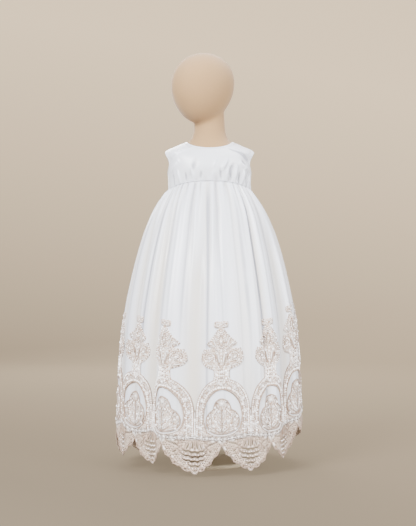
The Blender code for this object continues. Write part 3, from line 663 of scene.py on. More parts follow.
def bodicePanel(name, start, end, cut, node):
    # start and end are the panel's two edges in turns of its reach: -1 and 1 are the side seams, 0 the middle
    front, top = cut == "frontArmhole", len(bodiceRings) - 1
    t = np.linspace(-1, 1, 181 if front else 111)
    across = np.sign(t) * (1 - (1 - np.abs(t)) ** 1.35) if front else np.sin(np.pi / 2 * t)
    across = start + (end - start) * (across + 1) / 2
    places = placesBetween((0, 0.5, 9), (0.5, 5.5, 57), (5.5, top, 9))
    step, place = np.meshgrid(across, places[::-1], indexing="ij")
    share = np.sin(np.pi * ramp(place - bodice["underarm"], bodice["shoulder"] - bodice["underarm"])) ** 0.75
    reach = 90 - bodice[cut] * share
    angle = reach * step if front else 180 + reach * step
    signed = degreesFrom(angle, 0)
    rows = readRings(bodiceRings, place)

    # mm from the side or armhole, from the neck, and from the waist seam
    side = (1 - np.abs(step)) * reach * bodice["degreeWidth"]
    neck, waist = (top - place) * bodice["neckStep"], place * bodice["waistStep"]
    atArm, fromSeam = ramp(share, 0.2), ramp(place, 0.08)
    edges = bodice["edgeHeight"] * (bump(side - 1.3, 0.9) * atArm + bump(neck - 1.3, 0.9))
    edges = edges + bodice["flare"] * bump(place - 3.9, 0.4) * bump(side, 10)
    dips = bump(neck - bodice["dipPlace"], 0.8) + bump(side - bodice["dipPlace"], 0.8) * atArm
    line = np.interp(angle if front else angle % 360, columnAngles, columnLines)
    gathers = np.cos(2 * np.pi * line / bodice["gatherLines"] + 0.8 * np.sin(line * 0.37))
    gathers = bodice["gatherHeight"] * gathers * bump(waist, bodice["gatherFade"]) * fromSeam
    gathers = gathers * (0.6 + 0.4 * np.tanh(signed / 30)) * (0.7 + 0.3 * np.sin(line * 2.3))
    fine = creaseHeight(signed, ringPoints(rows, angle)[..., 2]) * fromSeam * ramp(top - place, 0.5)
    fine = fine + gathers + edges - bodice["dip"] * dips + 0.35 * bump(waist, 2.0)

    outer, inner = [ringPoints(rows, angle, fine + turn * bodice["wall"] / 2) * mm for turn in (1, -1)]
    seam = (share[[0, -1]] == 0) & (np.abs(step[[0, -1]]) == 1)
    for grid in (outer, inner):
        grid[..., 2] -= 1.1 * mm * np.exp(-place / 0.06)
        grid[[0, -1], :, 1] += np.where(seam, -halfSeam if front else halfSeam, 0)
        if not front:
            grid[0 if start == 0 else -1, :, 0] = halfSeam if end == 0 else -halfSeam
    # painted shadow: a grey line down the centre back where the two halves meet; troughs, creases and the waist seam
    # get painted shade as on the skirt
    centreBackShadow = 0.0 if front else 0.8 * bump(step * reach * bodice["degreeWidth"], 1.0)
    shades = {
        "trough": np.clip(0.1 - fine / 5, 0, 1),
        "crease": np.clip(-0.02 - fine / 1.5, 0, 1) + 0.5 * bump(waist, 1.0) + centreBackShadow,
    }
    piece = clothPiece(name, node, outer, inner, across * bodice["mapHalf"] * mm, shades)
    return outer


# the wearer's left is the side of positive x, and the back's angles run from 180 down to the left side
frontGrid = bodicePanel("bodiceFront", -1, 1, "frontArmhole", "bodice_front")
leftGrid = bodicePanel("bodiceBackLeft", -1, 0, "backArmhole", "bodice_back_left")
rightGrid = bodicePanel("bodiceBackRight", 0, 1, "backArmhole", "bodice_back_right")
print("bodice sewn")

# dress form: the chest and neck are turned rings, the head an egg, joined into one smooth skin

form = {
    "skin": 3.2,  # between the points of the skin
    "smoothing": 10,
    "degrees": 4.0,  # between the points of a ring
    "chestRows": 113,
    "headRows": 48,
    "headCentre": (-15, -13, 822),
    "headHalves": (62, 75, 77.5),
    "headTurn": -45,
    "headLean": 7,
    "egg": 0.10,
}

formRings = np.array([
    (430, 430, 430, 62, 50, 48, 0.95), (436, 436, 436, 76, 61, 58, 0.95), (470, 470, 470, 82, 66, 63, 0.95),
    (530, 530, 530, 82, 69, 60, 0.95), (590, 590, 590, 79, 66, 54, 0.93), (630, 627, 627, 80, 64, 52, 0.91),
    (658, 648, 650, 84, 62, 51, 0.89), (678, 661, 667, 87, 60, 49.5, 0.87), (687, 668, 675, 87, 58, 48.5, 0.86),
    (695.7, 678, 686, 70, 53, 45, 0.88), (704.3, 689, 697, 50, 48, 41, 0.92), (712, 705, 708, 41, 40, 37, 0.97),
    (722, 719, 720, 36.5, 36, 35, 1), (738, 738, 738, 34, 34, 33, 1), (790, 790, 790, 31, 31, 31, 1),
], dtype=float)


def closedRings(rings):
    # a closed skin through rings of points, with a point in the middle of each end
    count, around = rings.shape[:2]
    number = np.arange(count * around).reshape(count, around)
    following = np.roll(number, -1, axis=1)
    faces = np.stack([number[:-1], following[:-1], following[1:], number[1:]], -1).reshape(-1, 4).tolist()
    low, high = count * around, count * around + 1
    faces += [(low, int(b), int(a)) for a, b in zip(number[0], following[0])]
    faces += [(high, int(a), int(b)) for a, b in zip(number[-1], following[-1])]
    points = np.concatenate([rings.reshape(-1, 3), rings[:1].mean(1), rings[-1:].mean(1)])
    return points, faces


def dressForm():
    around = np.arange(0, 360, form["degrees"])
    rows = readRings(formRings, np.linspace(0, len(formRings) - 1, form["chestRows"]))
    chestPoints, chestFaces = closedRings(ringPoints(rows[:, None, :], around[None, :]) * mm)
    tilt = np.linspace(0.02, math.pi - 0.02, form["headRows"])
    up = -np.cos(tilt)
    radius = np.sin(tilt) * (1 + form["egg"] * up)
    turn = math.radians(form["headTurn"])
    forward = np.array([math.sin(turn), -math.cos(turn), 0])
    sideways = np.array([math.cos(turn), math.sin(turn), 0])
    halfSide, halfLength, halfHeight = form["headHalves"]
    centre = np.array(form["headCentre"]) + up[:, None] * (0, 0, halfHeight)
    centre = centre - forward * (form["headLean"] * up[:, None])
    spin = np.radians(around)[:, None]
    ring = sideways * halfSide * np.cos(spin) - forward * halfLength * np.sin(spin)
    headPoints, headFaces = closedRings((centre[:, None, :] + ring[None] * radius[:, None, None]) * mm)
    shift = len(chestPoints)
    faces = chestFaces + [tuple(v + shift for v in face) for face in headFaces]
    piece = meshObject("dressForm", np.concatenate([chestPoints, headPoints]), faces, jersey)
    skin = piece.modifiers.new("one skin", "REMESH")
    skin.mode = "VOXEL"
    skin.voxel_size = form["skin"] * mm
    skin.use_smooth_shade = True
    smooth = piece.modifiers.new("smooth", "SMOOTH")
    smooth.factor = 0.5
    smooth.iterations = form["smoothing"]
    bakeModifiers(piece)
    piece.data.materials.clear()
    piece.data.materials.append(jersey)
    piece.data.shade_smooth()
    attach(piece, "dress_form")
    print("dress form", len(piece.data.polygons))


dressForm()

# the stand is the frame's own, with a coat of lacquer
for node in ("form_pole", "form_base"):
    for materialSlot in bpy.data.objects[node].material_slots:
        materialSlot.material = lacquer
print("form and stand finished")

# lace, drawn flat in mm and then laid on the skirt

lace = {
    # the real cords are about 1.4 and 0.9 mm wide, drawn twice as wide so that they show
    "cord": 1.4,
    "fineCord": 0.95,
    "cordRise": 1.5,  # height of a cord in its radii
    "padHeight": 0.95,
    "groundLift": 1.0,  # how far the net lies over the middle of the satin
    "groundWall": 0.7,
    "spacing": 2.6,  # between the points of a cord
    "motifHalf": 56.5,
    "archCentre": 48,  # height of the middle of the arches' round tops
    "scallopHalf": 58.2,
    "tipDepth": 78.0,
    "notchDepth": 22.0,
    "lobes": 7,
    "lobeDepth": 5.5,
    "arcWave": 11.5,  # length of a wave in the scallop's arcs
    "arcBend": 0.0135,
}
onNet = lace["groundLift"] + lace["groundWall"] - 0.15
onSatin = 0.35


def newDrawing():
    return {"points": [], "faces": [], "beads": [], "sequins": []}


def addPoints(drawing, points, rise):
    # rise is 0 at a thread's foot and 1 on its ridge, and the threads' painted shade and highlight follow it
    start = len(drawing["points"])
    drawing["points"] += [(*p, r) for p, r in zip(points, rise)]
    return start


def sideOn(path):
    # the way along a path and the way to its left, at each point
    along = np.gradient(path, axis=0)
    along /= np.maximum(np.linalg.norm(along, axis=1)[:, None], 1e-6)
    return along, np.stack([-along[:, 1], along[:, 0]], 1)


def smoothPath(points, spacing=None):
    # an even run of points on a smooth curve through the given ones
    points = np.asarray(points, float)
    count = len(points)
    if count > 2:
        spots = np.linspace(0, count - 1, 8 * count)
        low = np.minimum(spots.astype(int), count - 2)
        pick = [points[np.clip(low + step, 0, count - 1)] for step in (-1, 0, 1, 2)]
        points = smoothRun(*pick, (spots - low)[:, None])
    steps = np.concatenate([[0], np.cumsum(np.linalg.norm(np.diff(points, axis=0), axis=1))])
    places = np.linspace(0, steps[-1], max(2, int(round(steps[-1] / (spacing or lace["spacing"]))) + 1))
    return np.stack([np.interp(places, steps, points[:, k]) for k in (0, 1)], 1)


def addCord(drawing, path, radius, lift, spacing=None):
    # a cord with a flat underside: left, top and right, closed at its ends
    path = smoothPath(path, spacing)
    count = len(path)
    side = sideOn(path)[1] * radius
    low, high = np.full((count, 1), lift), np.full((count, 1), lift + lace["cordRise"] * radius)
    rings = [np.hstack([path + side, low]), np.hstack([path, high]), np.hstack([path - side, low])]
    start = addPoints(drawing, np.stack(rings, 1).reshape(-1, 3), [0, 1, 0] * count)
    for a in range(start, start + 3 * (count - 1), 3):
        b = a + 3
        drawing["faces"] += [(a, a + 1, b + 1, b), (a + 1, a + 2, b + 2, b + 1), (a + 2, a, b, b + 2)]
    end = start + 3 * (count - 1)
    drawing["faces"] += [(start + 2, start + 1, start), (end, end + 1, end + 2)]


def addLeaf(drawing, x, y, angle, length, width, lift, steps=4, height=None):
    # a padded leaf from its stalk; the angle is measured from straight up, to the right
    height = lace["padHeight"] if height is None else height
    s, c = math.sin(math.radians(angle)), math.cos(math.radians(angle))
    points = [(x, y, lift)]
    for share in (k / (steps + 1) for k in range(1, steps + 1)):
        half = width / 2 * math.sin(math.pi * share**0.8)
        px, py = x + s * length * share, y + c * length * share
        points += [(px - c * half, py + s * half, lift), (px, py, lift + height)]
        points.append((px + c * half, py - s * half, lift))
    points.append((x + s * length, y + c * length, lift))
    start = addPoints(drawing, points, [0] + [0, 1, 0] * steps + [0])
    end, a = start + len(points) - 1, start + 1
    faces = [(start, a, a + 1), (start, a + 1, a + 2), (start, a + 2, a)]
    for k in range(steps - 1):
        a, b = start + 1 + 3 * k, start + 4 + 3 * k
        faces += [(a, b, b + 1, a + 1), (a + 1, b + 1, b + 2, a + 2), (a + 2, b + 2, b, a)]
    a = end - 3
    drawing["faces"] += faces + [(a, end, a + 1), (a + 1, end, a + 2), (a + 2, end, a)]


def addOutlined(cords, pads, x, y, angle, length, width, lift):
    # a padded leaf with a cord round it, seen as a darker rim
    addLeaf(cords, x, y, angle, length + 1.8, width + 2.6, lift - 0.1, 3, 0.45)
    addLeaf(pads, x, y, angle, length, width, lift + 0.1)


def addFlower(drawing, x, y, radius, lift, petals=5, turn=0.0, bead=1.3):
    for k in range(petals):
        addLeaf(drawing, x, y, turn + 360 * k / petals, radius, radius * 0.75, lift, steps=3)
    drawing["beads"].append((x, y, lift + 1.0, bead))


def beadLine(drawing, path, spacing, size, lift, key="beads"):
    for x, y in smoothPath(path, spacing):
        drawing[key].append((x, y, lift, size))


def bothSides(path):
    path = np.asarray(path, float)
    return path, path * (-1, 1)


def mirrored(half, spacing, first=None):
    # a closed outline from its right half, bottom up; first is 0 where the half starts on the middle line
    half = smoothPath(half, spacing)
    return np.concatenate([half, half[-2:first:-1] * (-1, 1)])


def archLine(halfWidth, height, foot=2):
    centre, turn = lace["archCentre"], np.linspace(0, np.pi, 25)
    top = np.stack([-halfWidth * np.cos(turn), centre + height * np.sin(turn)], 1)
    legs = np.linspace(foot, centre, 5)[:-1]
    left = np.stack([np.full(4, -float(halfWidth)), legs], 1)
    return np.concatenate([left, top, left[::-1] * (-1, 1)])


def spiral(x, y, start, end, turns, startTurn):
    share = np.linspace(0, 1, 22)
    radius = start + (end - start) * share
    turn = math.radians(startTurn) + turns * 2 * np.pi * share
    return np.stack([x + radius * np.cos(turn), y + radius * np.sin(turn)], 1)


def ellipseLoop(x, y, halfWidth, halfHeight, turn=0.0, count=8, point=0.0):
    # a closed loop for a hole; point makes its upper end narrow, as a drop's is
    spin = np.linspace(0, 2 * np.pi, count, endpoint=False)
    u, v = halfWidth * np.cos(spin), halfHeight * np.sin(spin)
    u = u * (1 - point * (v / halfHeight + 1) / 2)
    c, s = math.cos(math.radians(turn)), math.sin(math.radians(turn))
    return np.stack([x + u * c - v * s, y + u * s + v * c], 1)


def insideLoop(points, loop):
    x, y = points[:, 0], points[:, 1]
    x1, y1 = loop[:, 0], loop[:, 1]
    x2, y2 = np.roll(x1, -1), np.roll(y1, -1)
    crosses = (y1[None] > y[:, None]) != (y2[None] > y[:, None])
    with np.errstate(divide="ignore", invalid="ignore"):
        where = (x2 - x1)[None] * (y[:, None] - y1[None]) / (y2 - y1)[None] + x1[None]
    return (np.sum(crosses & (x[:, None] < where), axis=1) % 2) == 1


def cutSheet(outline, holes, spacing, lift, thickness):
    # flat lace cut to an outline with holes, in triangles small enough to follow the folds
    loops = [np.asarray(loop, float) for loop in [outline, *holes]]
    border = np.concatenate(loops)
    edges, start = [], 0
    for loop in loops:
        edges += [(start + k, start + (k + 1) % len(loop)) for k in range(len(loop))]
        start += len(loop)
    low, high = border.min(0), border.max(0)
    grid = []
    for row, y in enumerate(np.arange(low[1], high[1], spacing * 0.87)):
        grid += [(x, y) for x in np.arange(low[0] + (row % 2) * spacing / 2, high[0], spacing)]
    grid = np.array(grid)
    near = np.min(np.hypot(grid[:, None, 0] - border[None, :, 0], grid[:, None, 1] - border[None, :, 1]), axis=1)
    keep = insideLoop(grid, loops[0]) & (near > spacing * 0.45)
    for loop in loops[1:]:
        keep &= ~insideLoop(grid, loop)
    points = np.concatenate([border, grid[keep]])
    made = delaunay_2d_cdt([Vector(p) for p in points], edges, [], 0, 1e-5)
    flat = np.array([tuple(p) for p in made[0]])
    triangles = np.array([face for face in made[2] if len(face) == 3])
    middles = flat[triangles].mean(1)
    wanted = insideLoop(middles, loops[0])
    for loop in loops[1:]:
        wanted &= ~insideLoop(middles, loop)
    triangles = triangles[wanted]
    count = len(flat)
    sides = np.concatenate([triangles[:, [0, 1]], triangles[:, [1, 2]], triangles[:, [2, 0]]])
    keys = np.sort(sides, axis=1)
    unique, first, times = np.unique(keys, axis=0, return_index=True, return_counts=True)
    rim = sides[first[times == 1]]
    drawing = newDrawing()
    # rise is 0 on the rim and round the holes, where a thread material paints its shade
    rise = [0 if k < len(border) else 1 for k in range(count)]
    drawing["points"] = [(x, y, lift + thickness, r) for (x, y), r in zip(flat, rise)]
    drawing["points"] += [(x, y, lift, r) for (x, y), r in zip(flat, rise)]
    drawing["faces"] = [tuple(t) for t in triangles.tolist()]
    drawing["faces"] += [(c + count, b + count, a + count) for a, b, c in triangles.tolist()]
    drawing["faces"] += [(b, a, a + count, b + count) for a, b in rim.tolist()]
    return drawing


def loosePointsRemoved(piece):
    work = bmesh.new()
    work.from_mesh(piece.data)
    loose = [v for v in work.verts if not v.link_faces]
    bmesh.ops.delete(work, geom=loose, context="VERTS")
    work.to_mesh(piece.data)
    work.free()


def drawMotif():
    cords, pads = newDrawing(), newDrawing()
    thick, thin, lift = lace["cord"], lace["fineCord"], onNet
    for halfWidth, height, radius in ((55.4, 71.8, thick), (52.0, 68.6, thin), (41.6, 52.6, thin)):
        addCord(cords, archLine(halfWidth, height), radius, lift)
    opening = [(0, 4.0), (16, 5.5), (29, 11), (36.5, 21), (39.3, 34), (39.3, 48), (35, 68), (26, 84), (13.5, 95.5)]
    for path in bothSides(opening + [(0, 100)]):
        addCord(cords, path, thick, lift)
    beadLine(pads, archLine(53.6, 70.2), 4.4, 1.3, lift + 0.5)
    beadLine(pads, archLine(43.6, 54.6), 5.0, 1.2, lift + 0.5)

    # the arch band: a winding vine with leaves and flowers
    vineLeaves, vineFlowers, swing = 20, 9, 3.4
    middle = smoothPath(archLine(47.2, 61.6, 5), 2.0)
    along, side = sideOn(middle)
    wave = np.sin(np.linspace(0, np.pi * vineLeaves, len(middle)))
    addCord(cords, middle + side * wave[:, None] * swing, thin, lift)
    for k in range(vineLeaves):
        spot = int((k + 0.5) / vineLeaves * (len(middle) - 1))
        here, away = middle[spot], side[spot] * (1 if wave[spot] > 0 else -1)
        heading = math.degrees(math.atan2(away[0] + along[spot][0], away[1] + along[spot][1]))
        addOutlined(cords, pads, *(here - away * swing), heading, 8.5, 4.2, lift)
        addLeaf(pads, *(here - away * 5.0), heading + 75, 6.5, 3.4, lift)
        addLeaf(pads, *(here + away * 4.4), heading + 165, 6.0, 3.2, lift)
        pads["sequins"].append((*(here + away * 6.0), lift + 0.5, 1.32))
        pads["beads"].append((*(here - away * 6.6), lift + 0.4, 0.9))
    for k in range(vineFlowers):
        spot = int((k + 0.5) / vineFlowers * (len(middle) - 1))
        addFlower(pads, *middle[spot], 6.4, lift + 0.35, 6, 20 * k)

    # the stem: four beaded bars that spread at both ends, with crossing threads
    for x in (4.5, 13.5):
        for path in bothSides([(x * 1.25, 113), (x, 121), (x * 0.9, 130), (x, 138), (x * 1.2, 145)]):
            addCord(cords, path, thin, lift)
            beadLine(pads, path, 3.4, 1.15, lift + 0.6)
    for y in (119, 127, 135):
        for path in bothSides([(-14, y), (0, y + 4), (14, y)]):
            addCord(cords, path, thin, lift)
        pads["sequins"] += [(x, y + up, lift + 0.5, 1.43) for x, up in ((-9, 1), (9, 1), (0, 0))]

    # the palmette: two scrolls with satin between them, leaves, a drop and a bow
    scrollRim = [(18, 141), (28, 143), (37, 148), (42, 156), (42.5, 165), (39.5, 173), (33, 178), (26, 179)]
    upperRim = [(9, 178), (17, 184), (28, 188), (29, 193), (22, 199), (16, 206), (10.5, 214), (6, 221)]
    drop = [(0, 181), (4.5, 187), (6.8, 195), (5.6, 204), (2.2, 212), (0, 218)]
    dropHeart = [(0, 186), (3.2, 192), (4.2, 197), (3.0, 204), (0, 210)]
    leaves = (  # foot, angle, length and width
        (3, 150, 10, 27, 6.0), (10, 184, 22, 22, 5.0), (13, 184, 48, 15, 4.8), (8, 194, 26, 17, 4.2),
        (18, 146, 84, 17, 5.0), (9, 143, 62, 14, 4.4), (35, 170, 20, 9, 4.4), (37, 152, 50, 8, 3.8),
        (22, 190, 84, 9, 4.0), (4, 178, 62, 10, 4.0),
    )
    for flip in (1, -1):
        turnOver = (flip, 1)
        for start, end, turns, radius in ((13.5, 3.0, -1.35, thick), (10.0, 2.0, -1.2, thin)):
            addCord(cords, spiral(26, 163, start, end, turns, 200) * turnOver, radius, lift)
        beadLine(pads, spiral(26, 163, 11.8, 5.0, -1.1, 200) * turnOver, 3.6, 1.1, lift + 0.5)
        addCord(cords, np.array([(3, 143), (6, 152), (9, 161), (11, 168)]) * turnOver, thick, lift)
        for rim in (scrollRim, upperRim):
            addCord(cords, np.array(rim) * turnOver, thin, lift)
            beadLine(pads, np.array(rim) * turnOver, 5.2, 0.9, lift + 0.4)
        addCord(cords, np.array(drop) * turnOver, thick, lift)
        addCord(cords, np.array(dropHeart) * turnOver, thin, lift)
        beadLine(pads, np.array(drop) * turnOver, 3.6, 0.95, lift + 0.9)
        for x, y, angle, length, width in leaves:
            addOutlined(cords, pads, x * flip, y, angle * flip, length, width, lift)
        for x, y, radius, petals, turn in ((26, 163, 6.0, 6, 0), (23, 192, 4.8, 5, 20), (9, 173, 4.6, 5, 10)):
            addFlower(pads, x * flip, y, radius, lift + 0.35, petals, turn)
        addLeaf(pads, 1.5 * flip, 214, 50 * flip, 10, 4.2, lift)
        addOutlined(cords, pads, 1 * flip, 227, 90 * flip, 12.0, 4.0, lift)
        addOutlined(cords, pads, 1 * flip, 233, 84 * flip, 11.5, 3.8, lift)
        for x, y, size in ((17, 168, 1.32), (34, 156, 1.32), (15, 156, 1.21)):
            pads["sequins"].append((x * flip, y, lift + 0.5, size))
    for y, size in ((196, 1.9), (231, 1.5), (150, 1.4), (157, 1.2), (164, 1.4), (171, 1.2), (177, 1.4)):
        pads["beads"].append((0, y, lift + 0.6, size))

    # a round-topped bush on the satin inside the arch, and a white rim under it
    low = onSatin + 0.6
    addCord(pads, [(-31, 13.5), (-22, 8.0), (-11, 5.2), (0, 4.6), (11, 5.2), (22, 8.0), (31, 13.5)], 1.9, lift)
    addCord(cords, [(0, 9), (0.8, 24), (-0.6, 42), (0, 62)], thin, low)
    addFlower(pads, 0, 70, 7.5, low, 8)
    bush = [(0, 8), (13, 9.5), (24, 14), (31.5, 22), (33.5, 32), (31, 43), (25, 51.5), (18, 57), (16, 64), (12.5, 72)]
    bush += [(6.5, 78), (0, 80)]
    bough = [(3, 10), (12, 17), (20, 27), (21, 38), (15, 49), (8, 57), (9, 66)]
    leaves = (
        (1, 12, 20, 15, 4.0), (1, 12, 58, 15, 4.2), (2, 24, 22, 16, 4.2), (1, 38, 20, 15, 4.0),
        (1, 50, 28, 12, 3.8), (12, 12, 72, 13, 4.0), (14, 18, 42, 14, 4.0), (22, 19, 56, 10, 3.8),
        (21, 28, 20, 13, 4.0), (27, 26, 30, 11, 3.6), (17, 40, 24, 12, 4.0), (24, 40, 14, 11, 3.6),
        (9, 46, 28, 12, 3.8), (10, 27, 30, 14, 4.0), (6, 60, 24, 11, 3.6), (4, 72, 70, 8, 3.4),
    )
    for flip in (1, -1):
        addCord(cords, np.array(bush) * (flip, 1), thick, low)
        addCord(cords, np.array(bough) * (flip, 1), thin, low)
        for x, y, angle, length, width in leaves:
            addOutlined(cords, pads, x * flip, y, angle * flip, length, width, low)
        for x, y, radius in ((29.5, 40, 4.0), (26, 15.5, 3.8), (12, 33, 4.2), (14, 62, 3.6)):
            addFlower(pads, x * flip, y, radius, low + 0.2, 6, 15)
        beadLine(pads, np.array([(3, 18), (12, 30), (19, 44), (10, 58)]) * (flip, 1), 4.5, 0.95, low + 0.5)
        pads["sequins"] += [(x * flip, y, low + 0.4, 1.1) for x, y in ((6, 33), (17, 24), (7, 54), (25, 34))]
    return cords, pads


def motifOutline():
    foot, turn = lace["motifHalf"], np.linspace(0, 1.22, 12)
    half = [(foot, 1.0), (foot, 12), (foot, 24), (foot, 36)]
    half += list(zip(foot * np.cos(turn), lace["archCentre"] + 73 * np.sin(turn)))
    half += [(17, 122), (16, 130), (17.5, 138), (27, 141.5), (37, 146), (43, 155), (44, 165), (41, 174), (34, 179.5)]
    half += [(25, 181), (21, 183), (29, 186.5), (31, 192), (24, 200), (17.5, 207), (12, 214), (7.5, 221), (6, 224)]
    return mirrored(half + [(14, 225.5), (14.5, 236), (6, 238), (0, 237)], 2.2)


def motifOpening():
    half = [(0, 5.0), (14, 6.2), (26, 11), (34, 21), (37.6, 34), (37.8, 48), (33.5, 67), (25, 82), (13, 93.5)]
    return mirrored(half + [(0, 98.5)], 2.6, 0)


def bushOutline():
    half = [(0, 7), (13, 8.5), (24.5, 13.5), (32, 22), (34, 32), (31.5, 43), (25.5, 52), (18.5, 57.5), (16.5, 64)]
    return mirrored(half + [(13, 72.5), (7, 79), (0, 81)], 3.2, 0)


def borderDepth(x):
    drop = lace["tipDepth"] - lace["notchDepth"]
    return lace["tipDepth"] - drop * np.abs(x / lace["scallopHalf"]) ** skirt["scallopPower"]


def borderEdge(x, inward=0.0):
    # rounded lobes along the scallop, and a pointed tip
    lobe = 2 * lace["scallopHalf"] / lace["lobes"]
    cusps = lace["lobeDepth"] * (1 - np.abs(np.cos(np.pi * x / lobe)) ** 0.6) + 3.0 * (1 - bump(x, 10))
    return -(borderDepth(x) - cusps - inward)


# the ladder's arcs: depth at the middle, half width, widest gap
arcGaps = ((32.0, 24, 4.6), (41.5, 27, 4.4), (51.0, 23, 4.4), (60.5, 13, 4.0))
eyeSpots = (16.6, 33.2, 47.5)  # where the larger eyelets lie, from the scallop's middle


def arcWave(x):
    return np.abs(np.sin(np.pi * x / lace["arcWave"]))


def arcPlace(x, middle):
    return -(middle - lace["arcBend"] * x**2 + 2.0 * arcWave(x) - 1.0)


def borderSheet():
    x = np.linspace(-lace["scallopHalf"], lace["scallopHalf"], 141)
    lower = np.stack([x, borderEdge(x) - 0.35 * np.abs(np.sin(np.pi * x / 2.8))], 1)
    upper = np.stack([x[::-6], np.zeros(len(x[::-6]))], 1)
    outline = np.concatenate([lower, upper])
    # holes on each side: place, half width and half height, turn, points, narrowing
    sideHoles = [(4.4, -17, 2.3, 8.5, 5, 14, 0.72), (12.6, -19, 2.0, 6.5, 20, 12, 0.6)]
    sideHoles += [(31.5 + 4.1 * k, -(15.5 - 1.6 * k), 0.95, 5.2 - 0.5 * k, -38, 8, 0) for k in range(5)]
    sideHoles += [(24, -20, 1.5, 4.2, 55, 10, 0), (34, -29.5, 1.3, 4.0, 62, 10, 0)]
    for spot, radius in (*zip(eyeSpots, (1.9, 1.7, 1.3)), (11.2, 1.0), (22.0, 1.0), (28.4, 0.9), (38.4, 0.9)):
        sideHoles.append((spot, -borderDepth(spot) + (7.0 if radius > 1.2 else 8.5), radius, radius, 0, 8, 0))
    sideHoles.append((4.2, -69.5, 1.0, 1.0, 0, 8, 0))
    holes = []
    for side in (1, -1):
        for x, y, halfWidth, halfHeight, turn, count, point in sideHoles:
            holes.append(ellipseLoop(x * side, y, halfWidth, halfHeight, turn * side, count, point))
    holes.append(ellipseLoop(0, -70.5, 1.7, 1.7))
    for middle, halfWidth, gap in arcGaps:
        run = np.linspace(-halfWidth, halfWidth, 33)
        half = gap / 2 * np.sqrt(np.clip(1 - (run / halfWidth) ** 2, 0, 1)) * (0.75 + 0.25 * arcWave(run))
        line = arcPlace(run, middle)
        top = np.stack([run, line + half], 1)
        low = np.stack([run[1:-1], line[1:-1] - half[1:-1]], 1)
        holes.append(np.concatenate([top, low[::-1]]))
    # small eyelets fill what is left, at least a thread's width from everything else
    taken = np.concatenate([outline, *holes])
    rowStep, columnStep, clear = 4.1, 4.7, 2.5
    for row, depth in enumerate(np.arange(8.5, 76, rowStep)):
        for column in range(-15, 16):
            x = column * columnStep + (row % 2) * columnStep / 2
            if abs(x) > 55 or depth > borderDepth(x) - 6.5:
                continue
            inHole = any(insideLoop(np.array([(x, -depth)]), np.asarray(hole))[0] for hole in holes)
            if inHole or np.min(np.hypot(taken[:, 0] - x, taken[:, 1] + depth)) < clear:
                continue
            holes.append(ellipseLoop(x, -depth, 1.35, 1.2, count=6))
    return cutSheet(outline, holes, 4.8, -0.4, 0.8)


def addRing(drawing, x, y, halfWidth, halfHeight, lift):
    loop = ellipseLoop(x, y, halfWidth, halfHeight, count=9)
    addCord(drawing, np.concatenate([loop, loop[:1]]), lace["fineCord"], lift, 1.8)


def drawBorder():
    cords = newDrawing()
    thin, lift = lace["fineCord"], 0.3
    for middle, halfWidth, gap in arcGaps:
        run = np.linspace(-halfWidth - 1, halfWidth + 1, 40)
        for step in (-1, 1):
            line = arcPlace(run, middle) + step * (gap / 2 + 0.9)
            addCord(cords, np.stack([run, line], 1), thin, lift, 1.7)
        for x in np.arange(-halfWidth + 3, halfWidth, lace["arcWave"] / 2):
            cords["beads"].append((x, arcPlace(x, middle) - gap / 2 - 2.6, lift + 0.5, 0.7))
    x = np.linspace(-lace["scallopHalf"] + 0.5, lace["scallopHalf"] - 0.5, 90)
    addCord(cords, np.stack([x, borderEdge(x, 1.6)], 1), thin, lift, 1.6)
    inner = np.linspace(-50, 50, 40)
    addCord(cords, np.stack([inner, -(borderDepth(inner) - 10.8)], 1), thin, lift)
    ribs = (
        [(0, -6), (1.3, -16), (1.2, -26)], [(5.2, -7), (8.4, -16), (8.6, -26)], [(8, -7), (16, -15), (18.4, -25)],
        [(25, -6), (29, -14), (26.5, -22), (28, -31), (33, -36)],
    )
    leaves = (
        (20, -9, 120, 12, 4.5), (21, -14, 150, 10, 4), (29, -24, 110, 11, 4), (41, -22, 95, 10, 4),
        (50, -16, 75, 8, 4),
    )
    for side in (1, -1):
        for rib in ribs:
            addCord(cords, np.array(rib) * (side, 1), thin, lift)
        for spot in eyeSpots:
            addRing(cords, spot * side, -(borderDepth(spot) - 7.0), 3.1, 2.9, lift)
        for x, y, angle, length, width in leaves:
            addLeaf(cords, x * side, y, angle * side, length, width, lift, 3)
    addRing(cords, 0, -70.5, 3.2, 3.0, lift)

    # the vase of leaves that stands over each scallop, between two arches
    vase, vaseCords = newDrawing(), newDrawing()
    leaves = (
        (0, 2, 0, 30, 5.0), (-2, 4, -26, 20, 4.2), (2, 4, 26, 20, 4.2), (-1, 30, -38, 15, 4.0), (1, 30, 38, 15, 4.0),
        (0, 36, 0, 17, 4.4),
    )
    for x, y, angle, length, width in leaves:
        addOutlined(vaseCords, vase, x, y, angle, length, width, onNet)
    for k, x in enumerate(np.linspace(-52.0, 52.0, 9)):
        addFlower(vase, x, -1.5, 5.2, onSatin + 0.8, 5, 30 * k, 0.75)
        addOutlined(vaseCords, vase, x + 4, -1, 110 + 20 * (k % 3), 8.0, 3.2, onSatin + 0.4)
        addOutlined(vaseCords, vase, x - 4, -1, -110 - 20 * (k % 2), 7.5, 3.0, onSatin + 0.4)
    addFlower(vase, 0, 34, 6.2, onNet + 0.4, 7)
    addFlower(vase, 0, 6, 6.8, onNet + 0.4, 7)
    beadLine(vase, [(0, 10), (0, 30)], 3.6, 1.2, onNet + 1.0)
    for x, y, size in ((-7, 20, 1.3), (7, 20, 1.3), (-6, 44, 1.2), (6, 44, 1.2)):
        vase["sequins"].append((x, y, onNet + 0.5, size))
    return cords, vase, vaseCords


def onSkirt(middleLine, points):
    # x runs round the cloth, y up from the satin's hem, and the third value is the lift
    line = middleLine + points[:, 0] / skirt["lineWidth"]
    height = readPlaces(placeHem, line) + points[:, 1]
    return skirtPoints(line, ringPlace(height), height, points[:, 2])


def onBorder(tipLine, points):
    # the same below the hem, where y is let out or drawn in so that the points reach the scalloped edge
    line = tipLine + points[:, 0] / skirt["lineWidth"]
    hem, edge = readPlaces(placeHem, line), edgeHeight(line)
    height = hem - skirt["seamGap"] + points[:, 1] * (hem - edge) / borderDepth(points[:, 0])
    return skirtPoints(line, ringPlace(height), height, points[:, 2])


